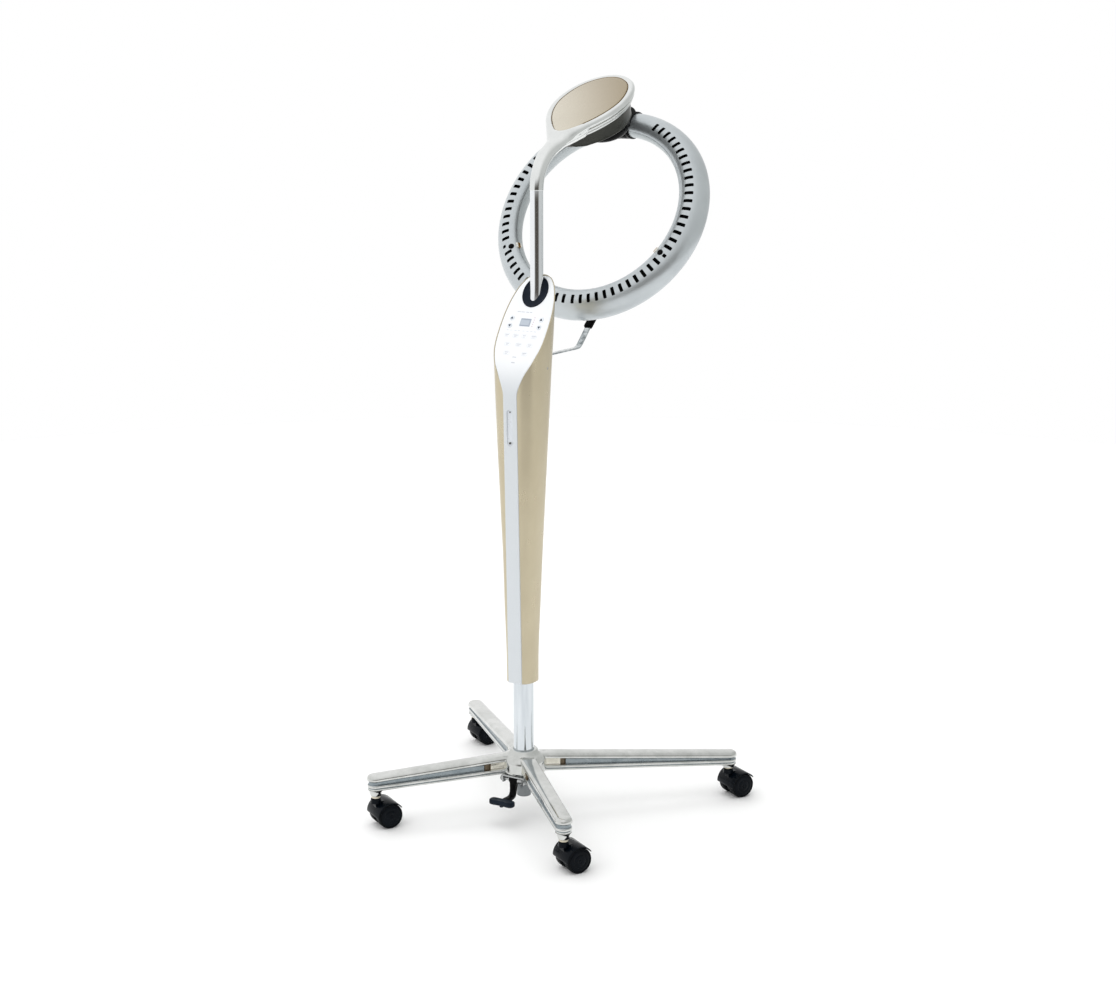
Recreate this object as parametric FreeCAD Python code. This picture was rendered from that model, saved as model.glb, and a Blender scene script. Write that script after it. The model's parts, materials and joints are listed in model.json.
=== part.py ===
import FreeCAD, Part
import os
import math

# Hair color processor on a four-leg caster stand.
# Millimetres, +Z up.  Origin: on the floor, on the axis of the column.
# -Y is the operator's side (control panel, foot pedal), +Y the client's side.

os.makedirs("parts", exist_ok=True)
V = FreeCAD.Vector

# ------------------------------------------------------------------ sizes
# casters
WHEEL_R = 25.0
WHEEL_W = 18.0          # one wheel of the pair
WHEEL_GAP = 15.0        # between the two wheels
AXLE_R = 3.0
STEM_R = 5.45
TRAIL = (10.3, 17.7)    # from the stem to the wheel centre
STEMS = {"fl": (-211.5, -204.2), "fr": (211.5, -204.2),
         "rl": (-304.3, 293.8), "rr": (304.3, 293.8)}
# base
LEG_W = 16.5            # half width
LEG_TOP0, LEG_TOP_K = 131.0, 0.0825
LEG_BOT0, LEG_BOT_K = 93.3, 0.0561
BOSS_Z = 64.5
COLLAR_Z = 59.8
HUB_TOP = 137.0
HUB_BOTTOM = 92.0
# column
POST_R, POST_WALL = 19.75, 2.25
POST_TOP = 700.0
COVER_BOTTOM = 278.0
COVER_WALL = 2.2
SEAM_Y = 13.0
# z : half width, front, rear of the column's horizontal section
SECTIONS = [(270, 28.9, 32.0, 24.0), (316, 28.9, 32.3, 24.0), (437, 32.9, 35.0, 28.4),
            (517, 34.6, 36.9, 35.0), (597, 38.4, 38.8, 38.3), (675, 42.2, 40.6, 41.4),
            (753, 45.8, 42.5, 45.2), (830, 48.6, 44.4, 50.0), (906, 51.2, 46.0, 55.4),
            (960, 53.0, 46.5, 61.0), (1020, 53.0, 47.0, 67.0), (1080, 52.5, 47.0, 71.5)]
SECTION_N = 2.6
# control panel plane
PANEL_O = (0.0, 49.2, 1030.0)
PANEL_TILT = math.radians(34.0)
FASCIA_T = 3.0
STRIP_HALF = 15.0
# arm
ARM_R, ARM_WALL = 12.5, 2.0
ARM_Y = 53.5
ARM_BEND_Z = 1045.0
ARM_TOP = 1218.0
NECK_R = 78.0
NECK_TURN = math.radians(64.0)
# head
HEAD_O = (0.0, 254.0, 1380.0)
HEAD_TILT = math.radians(26.0)
ORBIT_S = 36.0          # orbit axis in the head's plane
HOUSING_H = 58.0
INLAY = [(-129.4, 0), (-127.9, 6.3), (-124, 12), (-109, 24.7), (-94, 34.7), (-79, 44.0),
         (-64, 51.5), (-49, 57.6), (-34, 62.1), (-19, 65.2), (-4, 66.5), (10.6, 65.9),
         (25.6, 63.7), (40.6, 60.1), (55.6, 54.3), (70.6, 45.5), (85.0, 31.0),
         (93.2, 17.5), (96.5, 0)]
# ring
RING_C = (0.0, 297.4, 1158.5)
RING_EL = math.radians(32.0)
RING_R = 199.3
RING_A, RING_B, RING_REAR_B = 30.6, 25.0, 21.3
RING_SKEW = math.radians(41.0)
RING_WALL = 2.2
SLOT_R, SLOT_L, SLOT_W = 198.8, 17.5, 7.0
SLOT_FIRST, SLOT_STEP, SLOT_COUNT = 24.0, 4.94, 32   # degrees from the ring's top, each side
SENSOR_ANG, SENSOR_R = 117.7, 5.2

PIECES = {}


def put(name, shape):
    PIECES[name] = shape


# ------------------------------------------------------------------ helpers
def vec(p):
    return p if isinstance(p, FreeCAD.Vector) else V(*p)


def cyl(r, h, p=(0, 0, 0), d=(0, 0, 1)):
    return Part.makeCylinder(r, h, vec(p), vec(d))


def tube(ro, ri, h, p=(0, 0, 0), d=(0, 0, 1)):
    q = vec(d)
    q = q * (1.0 / q.Length)
    return cyl(ro, h, p, d).cut(cyl(ri, h + 2, vec(p) - q, d))


def box(x0, x1, y0, y1, z0, z1):
    return Part.makeBox(x1 - x0, y1 - y0, z1 - z0, V(x0, y0, z0))


def poly(pts):
    pts = [vec(p) for p in pts]
    return Part.makePolygon(pts + [pts[0]])


def prism(pts, d):
    return Part.Face(poly(pts)).extrude(vec(d))


def revolve(pts, p=(0, 0, 0), d=(0, 0, 1), angle=360):
    return Part.Face(poly(pts)).revolve(vec(p), vec(d), angle)


def spline(pts, closed=True):
    c = Part.BSplineCurve()
    c.interpolate(Points=[vec(p) for p in pts], PeriodicFlag=closed)
    return c


def ring_wire(pts):
    return Part.Wire([spline(pts).toShape()])


def frame(o, ex, ey, ez):
    m = FreeCAD.Matrix(ex[0], ey[0], ez[0], o[0],
                       ex[1], ey[1], ez[1], o[1],
                       ex[2], ey[2], ez[2], o[2],
                       0, 0, 0, 1)
    return FreeCAD.Placement(m)


def place(shape, fr):
    s = shape.copy()
    s.Placement = fr.multiply(s.Placement)
    return s


def at(fr, x, y, z):
    return fr.multVec(V(x, y, z))


def along(fr, x, y, z):
    return fr.Rotation.multVec(V(x, y, z))


def group(shapes):
    return Part.makeCompound(shapes)


def one(shape):
    """the largest closed solid of a boolean result"""
    sol = sorted(shape.Solids, key=lambda q: -q.Volume)
    if len(sol) > 1:
        print("   solids", ["%.0f" % q.Volume for q in sol][:5])
    return sol[0]


ct, st = math.cos(PANEL_TILT), math.sin(PANEL_TILT)
PANEL = frame(PANEL_O, (1, 0, 0), (0, st, ct), (0, -ct, st))
ch, sh = math.cos(HEAD_TILT), math.sin(HEAD_TILT)
HEAD = frame(HEAD_O, (1, 0, 0), (0, ch, sh), (0, -sh, ch))
cr, sr = math.cos(RING_EL), math.sin(RING_EL)
RING = frame(RING_C, (1, 0, 0), (0, sr, cr), (0, -cr, sr))

# ------------------------------------------------------------------ base
# Polished die-cast star: I-shaped legs with a side groove that closes
# towards the tip, rounded tips, a conical boss under each tip.


def leg_section(r):
    zt = LEG_TOP0 - LEG_TOP_K * r
    zb = LEG_BOT0 - LEG_BOT_K * r
    w = LEG_W
    half = [(9.0, zt), (13.2, zt - 1.4), (15.8, zt - 4.4), (w, zt - 8.0), (w, zt - 10.0),
            (12.6, zt - 12.0), (12.6, zb + 12.0), (15.6, zb + 10.4), (15.6, zb + 6.2),
            (14.4, zb + 5.2), (14.4, zb + 1.6), (12.8, zb)]
    return half


def make_leg(sx, sy):
    reach = math.hypot(sx, sy)
    ux, uy = sx / reach, sy / reach
    fr = frame((0, 0, 0), (ux, uy, 0), (-uy, ux, 0), (0, 0, 1))

    def wire(r):
        half = leg_section(r)
        pts = [(r, v, z) for v, z in half] + [(r, -v, z) for v, z in reversed(half)]
        return poly(pts)
    body = Part.makeLoft([wire(18.0), wire(reach)], True, True)
    half = leg_section(reach)
    prof = [(reach, 0, half[0][1])] + [(reach, v, z) for v, z in half] + [(reach, 0, half[-1][1])]
    tip = Part.Face(poly(prof)).revolve(V(reach, 0, 0), V(0, 0, 1), -180)
    zb = half[-1][1]
    boss = Part.makeCone(10.2, 12.8, zb - BOSS_Z + 1.0, V(reach, 0, BOSS_Z), V(0, 0, 1))
    leg = body.fuse([tip, boss])
    leg = leg.cut(cyl(5.5, 36.0, (reach, 0, BOSS_Z - 1)))
    return place(leg, fr)


hub = revolve([(12, 0, HUB_BOTTOM), (39, 0, HUB_BOTTOM), (43, 0, HUB_BOTTOM + 4), (44, 0, 112),
               (42, 0, 118), (35, 0, 124), (29, 0, 131), (26.5, 0, 135.5), (25, 0, HUB_TOP),
               (12, 0, HUB_TOP)])
casting = hub.fuse([make_leg(*STEMS[k]) for k in ("fl", "fr", "rl", "rr")])
casting = casting.cut([cyl(POST_R, 60, (0, 0, 86))])
put("base_casting", one(casting))

collars = []
for k, (sx, sy) in STEMS.items():
    collars.append(tube(8.8, 5.5, BOSS_Z - COLLAR_Z, (sx, sy, COLLAR_Z)))
put("caster_collars", group(collars))

# ------------------------------------------------------------------ casters
roll = math.hypot(*TRAIL)
rd = (TRAIL[0] / roll, TRAIL[1] / roll)
for k, (sx, sy) in STEMS.items():
    # local frame: x along the rolling direction, y along the axle
    fr = frame((sx + TRAIL[0], sy + TRAIL[1], WHEEL_R), (rd[0], rd[1], 0), (-rd[1], rd[0], 0), (0, 0, 1))
    half = WHEEL_GAP / 2
    wheels = []
    for s in (-1, 1):
        y0, y1 = s * half, s * (half + WHEEL_W)
        w = revolve([(AXLE_R + 0.05, y0, 0), (22.6, y0, 0), (24.2, y0 + s * 0.8, 0), (WHEEL_R, y0 + s * 3.0, 0),
                     (WHEEL_R, y1 - s * 3.4, 0), (24.0, y1 - s * 0.9, 0), (22.0, y1, 0), (20.6, y1, 0),
                     (19.6, y1 - s * 0.7, 0), (12.0, y1 + s * 0.9, 0), (AXLE_R + 0.05, y1 + s * 1.4, 0)],
                    (0, 0, 0), (0, 1, 0))
        wheels.append(place(w, fr))
    put("caster_wheels_" + k, group(wheels))
    # hood: fin between the wheels, fender over them, neck for the stem
    fin = cyl(21.5, WHEEL_GAP - 1.2, (0, -(WHEEL_GAP - 1.2) / 2, 0), (0, 1, 0))
    fen = tube(28.4, 26.2, 57.0, (0, -28.5, 0), (0, 1, 0))
    keep = prism([(-40, -30, -4), (0, -30, 4), (36, -30, 22), (36, -30, 45), (-40, -30, 45)], (0, 60, 0))
    fen = fen.common(keep)
    neck = cyl(10.0, 23.0, (-roll, 0, 11.3))
    web = prism([(-roll + 3, -6.9, 4), (-6, -6.9, 14), (2, -6.9, 27.2), (-8, -6.9, 30.0), (-roll - 2, -6.9, 31)], (0, 13.8, 0))
    hood = fin.fuse([fen, neck, web])
    hood = hood.cut([tube(26.2, 21.6, 23, (0, -30.4, 0), (0, 1, 0)), tube(26.2, 21.6, 23, (0, 7.4, 0), (0, 1, 0)),
                     cyl(26.2, 23, (0, -30.4, 0), (0, 1, 0)), cyl(26.2, 23, (0, 7.0, 0), (0, 1, 0)),
                     cyl(STEM_R, 60, (-roll, 0, -6.0)), cyl(AXLE_R, 80, (0, -40, 0), (0, 1, 0))])
    put("caster_hood_" + k, one(place(hood, fr)))
    stem = cyl(STEM_R, 52.0, (-roll, 0, 19.0 - 25.0 + 12.0)).fuse(
        Part.makeCone(STEM_R, 3.6, 3.0, V(-roll, 0, 58.0), V(0, 0, 1)))
    axle = cyl(AXLE_R, 2 * (half + WHEEL_W) + 0.6, (0, -(half + WHEEL_W) - 0.3, 0), (0, 1, 0))
    stem = stem.cut(cyl(21.45, 14, (0, -7, 0), (0, 1, 0)).common(cyl(3.2, 60, (0, -30, 0), (0, 1, 0))))
    put("caster_steel_" + k, group([place(one(stem), fr), place(axle, fr)]))

# ------------------------------------------------------------------ post and gas spring
put("post_tube", tube(POST_R, POST_R - POST_WALL, POST_TOP - 97.0, (0, 0, 97.0)))
cup = revolve([(4.0, 0, 40), (12.8, 0, 40), (14.0, 0, 41.5), (14.0, 0, 71), (11.6, 0, 73), (11.6, 0, 91),
               (POST_R - 0.05, 0, 92), (POST_R - 0.05, 0, 97), (4.0, 0, 97)])
put("spring_cup", cup)
CYL_TOP = 470.0
body = revolve([(4.0, 0, 97), (13.9, 0, 97), (13.9, 0, CYL_TOP - 3), (11.0, 0, CYL_TOP), (5.05, 0, CYL_TOP),
                (5.05, 0, CYL_TOP - 14), (12.2, 0, CYL_TOP - 14), (12.2, 0, 104), (4.0, 0, 104)])
put("gas_spring_body", body)
rod = revolve([(0, 0, 236), (11.7, 0, 236), (11.7, 0, 248), (5.0, 0, 248), (5.0, 0, 852), (0, 0, 852)])
put("gas_spring_rod", rod)

# ------------------------------------------------------------------ foot pedal
PIV_Y, PIV_Z = -36.0, 82.0
plate = box(-24, 24, -44, -17, 89, HUB_BOTTOM)
cheek1 = prism([(-24, -44, 89), (-24, -24, 89), (-24, -29, 76), (-24, -42, 76)], (3, 0, 0))
cheek2 = prism([(21, -44, 89), (21, -24, 89), (21, -29, 76), (21, -42, 76)], (3, 0, 0))
bracket = plate.fuse([cheek1, cheek2]).cut([cyl(3.0, 60, (-30, PIV_Y, PIV_Z), (1, 0, 0)), cyl(20.2, 10, (0, 0, 84))])
bracket = bracket.cut(PIECES["base_casting"])
put("pedal_bracket", one(bracket))
hexa = [(-29.5, PIV_Y + 5.8 * math.cos(math.radians(a)), PIV_Z + 5.8 * math.sin(math.radians(a))) for a in range(0, 360, 60)]
bolt = cyl(3.0, 54, (-25.5, PIV_Y, PIV_Z), (1, 0, 0)).fuse([prism(hexa, (4.2, 0, 0)), tube(6.6, 2.9, 1.3, (-25.3, PIV_Y, PIV_Z), (1, 0, 0))])
put("pedal_bolt", one(bolt))
barrel = cyl(6.4, 18, (-9, PIV_Y, PIV_Z), (1, 0, 0))
lever = prism([(-6.5, y, z) for y, z in
               [(-42.2, 83.5), (-31.5, 77.4), (-36.0, 60.0), (-38.5, 52.0), (-43.0, 47.8), (-72.0, 46.8), (-72.0, 52.6), (-48.0, 53.4),
                (-44.4, 57.5), (-43.0, 64.0)]], (13, 0, 0))
toe = box(-5, 5, -33, -16.5, 78.5, 82.5)
lever = barrel.fuse([lever, toe]).cut(cyl(3.05, 70, (-35, PIV_Y, PIV_Z), (1, 0, 0)))
put("pedal_lever", one(lever))
pad_pts = [(-27.5, 0), (-24.5, -7.5), (-18, -9.2), (-9, -7.6), (0, -7.0), (9, -7.6), (18, -9.2), (24.5, -7.5), (27.5, 0),
           (24.5, 7.2), (16, 8.6), (7, 8.6), (0, 8.6), (-7, 8.6), (-16, 8.6), (-24.5, 7.2)]
pad_w = ring_wire([(x, -81.0 + y, 45.0) for x, y in pad_pts])
pad = Part.Face(pad_w).extrude(V(0, 0, 10))
nub = cyl(4.0, 3.5, (0, -83, 41.5))
try:
    pad = pad.makeFillet(2.2, [e for e in pad.Edges if abs(e.BoundBox.ZLength) < 0.01])
except Exception:
    pass
put("pedal_pad", one(pad.fuse(nub)))
coil = tube(6.2, 3.4, 10, (10.2, PIV_Y, PIV_Z), (1, 0, 0))
put("pedal_spring", coil)

# ------------------------------------------------------------------ column covers


def section_at(z):
    for (z0, a0, f0, g0), (z1, a1, f1, g1) in zip(SECTIONS, SECTIONS[1:]):
        if z <= z1:
            t = (z - z0) / (z1 - z0)
            return a0 + t * (a1 - a0), f0 + t * (f1 - f0), g0 + t * (g1 - g0)
    return SECTIONS[-1][1:]


def section_pts(z, a, f, g, n=40):
    pts = []
    for i in range(n):
        t = 2 * math.pi * i / n + math.pi / 2
        c, s = math.cos(t), math.sin(t)
        x = a * math.copysign(abs(c) ** (2 / SECTION_N), c)
        y = (g if s > 0 else f) * math.copysign(abs(s) ** (2 / SECTION_N), s)
        pts.append((x, y, z))
    return pts


def column_loft(off):
    body = Part.makeLoft([ring_wire(section_pts(z, a - off, f - off, g - off)) for z, a, f, g in SECTIONS], True, False)
    if body.Volume < 0:
        body.reverse()
    return body


def outer_body():
    return column_loft(0.0)


def inner_body():
    return column_loft(COVER_WALL)



# side profile of the fascia in the YZ plane: strip line, arc, panel line
K = 0.02354
STRIP = lambda z: -32.9 - K * (z - 316.0)
kt = math.tan(PANEL_TILT)
zc = (-32.9 + K * 316.0 - PANEL_O[1] + kt * PANEL_O[2]) / (kt + K)
yc = STRIP(zc)
BEND_R = 130.0
up = V(0, st, ct)
dn = V(0, K, -1).normalize()
turn = math.acos(-(up.dot(dn)))
# at the corner the two lines meet with the angle between up and -dn


def fascia_profile(off, z_lo, s_hi):
    """outer line moved inwards by off; returns points and the arc's middle"""
    n_p = V(0, -ct, st)
    n_s = V(0, -1, -K).normalize()
    # corner of the offset lines
    c0 = V(0, yc, zc)
    half = turn / 2.0
    bis = (n_p + n_s).normalize()
    corner = c0 - bis * (off / math.cos(half))
    r = BEND_R - off
    t = r * math.tan(half)
    t1 = corner + up * t
    t2 = corner + dn * t
    centre = corner - bis * (r / math.cos(half))
    mid = centre + bis * r
    top = PANEL.multVec(V(0, s_hi, -off))
    bot_len = (t2.z - z_lo) / (-dn.z)
    bot = t2 + dn * bot_len
    return top, t1, mid, t2, bot


def fascia_edges(off, z_lo, s_hi):
    top, t1, mid, t2, bot = fascia_profile(off, z_lo, s_hi)
    return [Part.makeLine(top, t1), Part.Arc(t1, mid, t2).toShape(), Part.makeLine(t2, bot)], top, bot


def slab(off0, off1, z_lo, s_hi, halfx=90.0):
    e0, top0, bot0 = fascia_edges(off0, z_lo, s_hi)
    e1, top1, bot1 = fascia_edges(off1, z_lo, s_hi)
    w = Part.Wire(Part.__sortEdges__(e0 + e1 + [Part.makeLine(top0, top1), Part.makeLine(bot0, bot1)]))
    f = Part.Face(w)
    f.translate(V(-halfx, 0, 0))
    return f.extrude(V(2 * halfx, 0, 0))


def profile_y(z, off=0.0):
    """y of the fascia's surface at height z"""
    top, t1, mid, t2, bot = fascia_profile(off, 200, 60)
    if z >= t1.z:
        return t1.y + (z - t1.z) * kt
    if z <= t2.z:
        return t2.y + (t2.z - z) * K
    half = turn / 2.0
    bis = (mid - V(0, yc, zc))
    n_p = V(0, -ct, st)
    centre = t1 - n_p * (BEND_R - off)
    return centre.y - math.sqrt((BEND_R - off) ** 2 - (z - centre.z) ** 2)


def column_half(z, y):
    a, f, g = section_at(z)
    q = abs(y) / (g if y > 0 else f)
    if q >= 1:
        return 0.0
    return a * (1 - q ** SECTION_N) ** (1 / SECTION_N)


LOWER = [(905, 40.2), (897, 36.2), (885, 29.6), (872, 23.6), (860, 18.6), (851, 15.9)]


def outline(extra):
    """half width of the leaf panel against height, a front view"""
    pts = []
    for z in (1056.5, 1052.0, 1044.0, 1034.0, 1022.0, 1008.0, 992.0, 975.0, 958.0, 942.0, 928.0, 916.0):
        pts.append((z, column_half(z, profile_y(z)) - 1.7 + extra))
    for z, w in LOWER:
        pts.append((z, w + extra))
    pts.append((843.0, STRIP_HALF + extra))
    return pts


def outline_prism(extra):
    side = outline(extra)
    z_top = 1059.6 + extra
    left = [(-w, -120.0, z) for z, w in reversed(side)]
    right = [(w, -120.0, z) for z, w in side]
    c = spline(left + [(0, -120.0, z_top)] + right, False)
    a, b = V(*left[0]), V(*right[-1])
    z_lo = COVER_BOTTOM if extra == 0 else COVER_BOTTOM - 20
    w = Part.Wire([c.toShape(), Part.makeLine(b, V(b.x, b.y, z_lo)),
                   Part.makeLine(V(b.x, b.y, z_lo), V(a.x, a.y, z_lo)), Part.makeLine(V(a.x, a.y, z_lo), a)])
    return Part.Face(w).extrude(V(0, 260, 0))


LEAF = outline_prism(0.0)
LEAF_CLEAR = outline_prism(0.15)
fascia = slab(0.0, FASCIA_T, 240.0, 50.0).common(LEAF)

# openings of the panel
KEYS = {"key_up_l": (-32.0, -58.5), "key_down_l": (-32.0, -74.5), "key_up_r": (32.0, -58.5), "key_down_r": (32.0, -74.5)}
LCD = (-0.2, -66.0, 23.0, 16.6)
cuts = [place(Part.makeCylinder(4.9, 10, V(x, s, -6), V(0, 0, 1)), PANEL) for x, s in KEYS.values()]
cuts.append(place(box(LCD[0] - LCD[2] / 2, LCD[0] + LCD[2] / 2, LCD[1] - LCD[3] / 2, LCD[1] + LCD[3] / 2, -6, 4), PANEL))


def oval(a, b, h, n=36):
    return ring_wire([(a * math.cos(2 * math.pi * i / n), b * math.sin(2 * math.pi * i / n), h) for i in range(n)])


GROM_A, GROM_B = 27.0, 33.0
GROM_S = -1.0
hole = Part.Face(oval(GROM_A - 1.45, GROM_B - 1.45, -12)).extrude(V(0, 0, 30))
hole.translate(V(0, GROM_S, 0))
cuts.append(place(hole, PANEL))
# oblong recess of the status lamp on the strip
LAMP_Z0, LAMP_Z1, LAMP_R = 754.0, 811.0, 6.0


def lamp_body(r, y0, y1):
    a = cyl(r, y1 - y0, (-1.0, y0, LAMP_Z0), (0, 1, 0))
    b = cyl(r, y1 - y0, (-1.0, y0, LAMP_Z1), (0, 1, 0))
    return a.fuse([b, box(-1.0 - r, -1.0 + r, y0, y1, LAMP_Z0, LAMP_Z1)])


lamp_y = STRIP(LAMP_Z0)          # outer surface at the lower end
cuts.append(lamp_body(LAMP_R, -60.0, lamp_y + 1.6))
fascia = fascia.cut(cuts)
put("front_fascia", one(fascia))

lamp = lamp_body(LAMP_R - 0.1, lamp_y - 0.1, lamp_y + 1.6)
lamp = lamp.fuse(cyl(2.0, 1.6, (-1.0, lamp_y - 1.3, LAMP_Z0 - 0.5), (0, 1, 0)))
put("status_lamp", one(lamp))

# covers: hollow shell, open where the fascia closes it
shell = outer_body().cut(inner_body()).common(box(-90, 90, -90, 110, COVER_BOTTOM, 1072))
beyond = slab(-140.0 + 139.9, -60.0, 843.0, 90.0, 90.0)          # everything in front of the fascia's face
shell = shell.cut([beyond, slab(-5.0, FASCIA_T + 0.02, 240.0, 60.0).common(LEAF_CLEAR)])
# web behind the strip that joins the two sides of the front cover
BACK_T = 2.0
backing = slab(FASCIA_T + 0.02, FASCIA_T + 0.02 + BACK_T, 240.0, 50.0)
backing = backing.common(box(-21, 21, -90, 20, COVER_BOTTOM, 900)).common(outer_body())
front = shell.common(box(-90, 90, -90, SEAM_Y - 0.1, 200, 1200)).fuse(backing)


def over_panel(h, s_lo=-75.0):
    return place(box(-90, 90, s_lo, 140, h, h + 120), PANEL)


rear = outer_body().cut(inner_body()).common(box(-90, 90, SEAM_Y + 0.1, 110, COVER_BOTTOM, 1072))
rear = rear.cut(over_panel(0.0)).cut(over_panel(-FASCIA_T - 0.02).common(LEAF_CLEAR.copy()))

# seam screws, bracket foot screws
SCREW_Z = 893.0
sx = column_half(SCREW_Z, 8.5)
seam_screws = []
for s in (-1, 1):
    seam_screws.append(cyl(2.6, 3.2, (s * (sx - 3.0), 8.5, SCREW_Z), (s, 0, 0)))
front = front.cut(seam_screws)

# mains inlet and rocker on the rear cover
INLET_Z = 786.0


def rear_y(z):
    return section_at(z)[2]


iy = rear_y(INLET_Z)
inlet = box(-25, 25, iy - 0.6, iy + 2.6, INLET_Z - 14, INLET_Z + 14).fuse(box(-13.5, 13.5, iy - 20.5, iy - 0.6, INLET_Z - 10, INLET_Z + 10))
inlet = inlet.cut([box(-12, 12, iy - 13, iy + 4, INLET_Z - 8, INLET_Z + 8)])
pins = [box(x - 1, x + 1, iy - 13, iy - 1.5, INLET_Z + z - 2, INLET_Z + z + 2) for x, z in ((-7, -2), (7, -2), (0, 2.5))]
inlet = inlet.fuse(pins)
put("mains_inlet", one(inlet))
ROCK_Z = INLET_Z + 33.0
ry = rear_y(ROCK_Z)
sw_frame = box(-11.5, 11.5, ry - 0.6, ry + 2.0, ROCK_Z - 8.5, ROCK_Z + 8.5).fuse(box(-9.8, 9.8, ry - 14, ry - 0.6, ROCK_Z - 6.8, ROCK_Z + 6.8))
sw_frame = sw_frame.cut(box(-8.6, 8.6, ry - 7.5, ry + 4, ROCK_Z - 5.6, ROCK_Z + 5.6))
PIN_Y = 45.9
sw_frame = sw_frame.cut(cyl(1.05, 13.0, (0, PIN_Y, ROCK_Z - 6.5)))
put("mains_switch_frame", one(sw_frame))
rk = prism([(x, ry + y, ROCK_Z - 4.6) for x, y in ((-8.2, 2.0), (-8.2, -3.2), (0, -4.4), (8.2, -3.2), (8.2, 2.0), (0, 3.0))], (0, 0, 9.2))
rk = rk.fuse(cyl(1.0, 12.0, (0, PIN_Y, ROCK_Z - 6.0)))
put("mains_rocker", one(rk))
rear = rear.cut([box(-25.3, 25.3, iy - 0.6, iy + 9, INLET_Z - 14.3, INLET_Z + 14.3), box(-13.6, 13.6, iy - 30, iy + 2, INLET_Z - 10.1, INLET_Z + 10.1),
                 box(-11.8, 11.8, ry - 0.6, ry + 9, ROCK_Z - 8.8, ROCK_Z + 8.8), box(-9.9, 9.9, ry - 30, ry + 2, ROCK_Z - 6.9, ROCK_Z + 6.9)])

# distance bracket: chrome flat strap behind the column
by = rear_y(905.0)
lean = math.atan2(rear_y(930.0) - rear_y(880.0), 50.0)
FOOT = frame((0, by, 905.0), (1, 0, 0), (0, math.sin(lean), math.cos(lean)), (0, -math.cos(lean), math.sin(lean)))
foot_cut = place(box(-11.2, 11.2, -19.2, 19.2, -20, 1.4), FOOT)
rear = rear.cut(place(box(-11.1, 11.1, -19.1, 19.1, -20, 0.0), FOOT))
foot = place(box(-11, 11, -19, 19, -2.8, 0.0), FOOT)
strap_pts = [(by - 1.0, 904.5), (203.0, 903.2), (213.0, 905.7), (242.2, 934.0), (247.4, 940.0), (270.6, 959.0)]


def strap_poly(pts, t):
    """offset a polyline in the YZ plane by t to each side"""
    left, right = [], []
    for i, (y, z) in enumerate(pts):
        p0 = pts[max(i - 1, 0)]
        p1 = pts[min(i + 1, len(pts) - 1)]
        dy, dz = p1[0] - p0[0], p1[1] - p0[1]
        q = math.hypot(dy, dz)
        left.append((y - dz / q * t, z + dy / q * t))
        right.append((y + dz / q * t, z - dy / q * t))
    return left + right[::-1]


strap = prism([(-6.0, y, z) for y, z in strap_poly(strap_pts, 1.5)], (12.0, 0, 0))
bracket2 = foot.fuse(strap)
bscrews = []
for s in (-13.0, 13.0):
    p = at(FOOT, 0, s, -4.2)
    d = along(FOOT, 0, 0, 1)
    bracket2 = bracket2.cut(cyl(2.1, 8, p, d))
    bscrews.append(one(cyl(4.0, 1.3, at(FOOT, 0, s, -4.1), d).fuse(cyl(2.1, 8.0, at(FOOT, 0, s, -3.0), d))))
bracket2 = bracket2.cut(inner_body())
put("distance_bracket", one(bracket2))
rear = rear.cut(bscrews)
sl = [(246.0, 938.8), (273.2, 961.2)]
dy, dz = sl[1][0] - sl[0][0], sl[1][1] - sl[0][1]
q = math.hypot(dy, dz)
SLV = frame((0, sl[0][0], sl[0][1]), (1, 0, 0), (0, -dz / q, dy / q), (0, -dy / q, -dz / q))
sleeve = place(box(-8.5, 8.5, -4.6, 4.6, -q, 0), SLV)
try:
    sleeve = sleeve.makeFillet(2.6, sleeve.Edges)
except Exception:
    pass
sleeve = sleeve.cut(bracket2)
put("bracket_sleeve", one(sleeve))

rear = rear.cut([bracket2, foot])
put("column_cover", one(front))
put("rear_cover", one(rear))

# ------------------------------------------------------------------ inside the column

def inside(z0, z1):
    b = inner_body().common(box(-90, 90, -90, 110, z0, z1))
    keep_out = FASCIA_T + 0.02 + BACK_T
    return b.cut(prism([(-21.2, STRIP(z0 - 5) + keep_out, z0 - 5), (-21.2, STRIP(z1 + 5) + keep_out, z1 + 5),
                        (-21.2, -90, z1 + 5), (-21.2, -90, z0 - 5)], (42.4, 0, 0)))


b1 = inside(282, 306).cut(cyl(POST_R + 0.08, 60, (0, 0, 260)))
b2 = inside(528, 552).cut(cyl(POST_R + 0.08, 60, (0, 0, 510)))
put("guide_bushes", group([one(b1), one(b2)]))
cross = inside(840, 862).cut([cyl(5.0, 60, (0, 0, 792)), slab(0.0, FASCIA_T + 0.02 + BACK_T + 0.1, 240.0, 50.0)])
put("lift_crosshead", one(cross))
psu = box(-29, 29, -4, 37, 872, 926)
put("power_supply", psu)
# arm tube: vertical, bent inside the column head towards the column's middle
lean_a = math.radians(20.0)
AR = 150.0
p_top = V(0, ARM_Y, ARM_TOP)
p_b0 = V(0, ARM_Y, ARM_BEND_Z)
c_b = V(0, ARM_Y - AR, ARM_BEND_Z)
p_bm = c_b + V(0, AR * math.cos(lean_a / 2), -AR * math.sin(lean_a / 2))
p_b1 = c_b + V(0, AR * math.cos(lean_a), -AR * math.sin(lean_a))
d_b = V(0, -math.sin(lean_a), -math.cos(lean_a))
p_bot = p_b1 + d_b * 40.0
path = Part.Wire([Part.makeLine(p_top, p_b0), Part.Arc(p_b0, p_bm, p_b1).toShape(), Part.makeLine(p_b1, p_bot)])


def pipe(r, wire, start, direction):
    c = Part.Wire([Part.makeCircle(r, start, direction)])
    return wire.makePipeShell([c], True, False)


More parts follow.
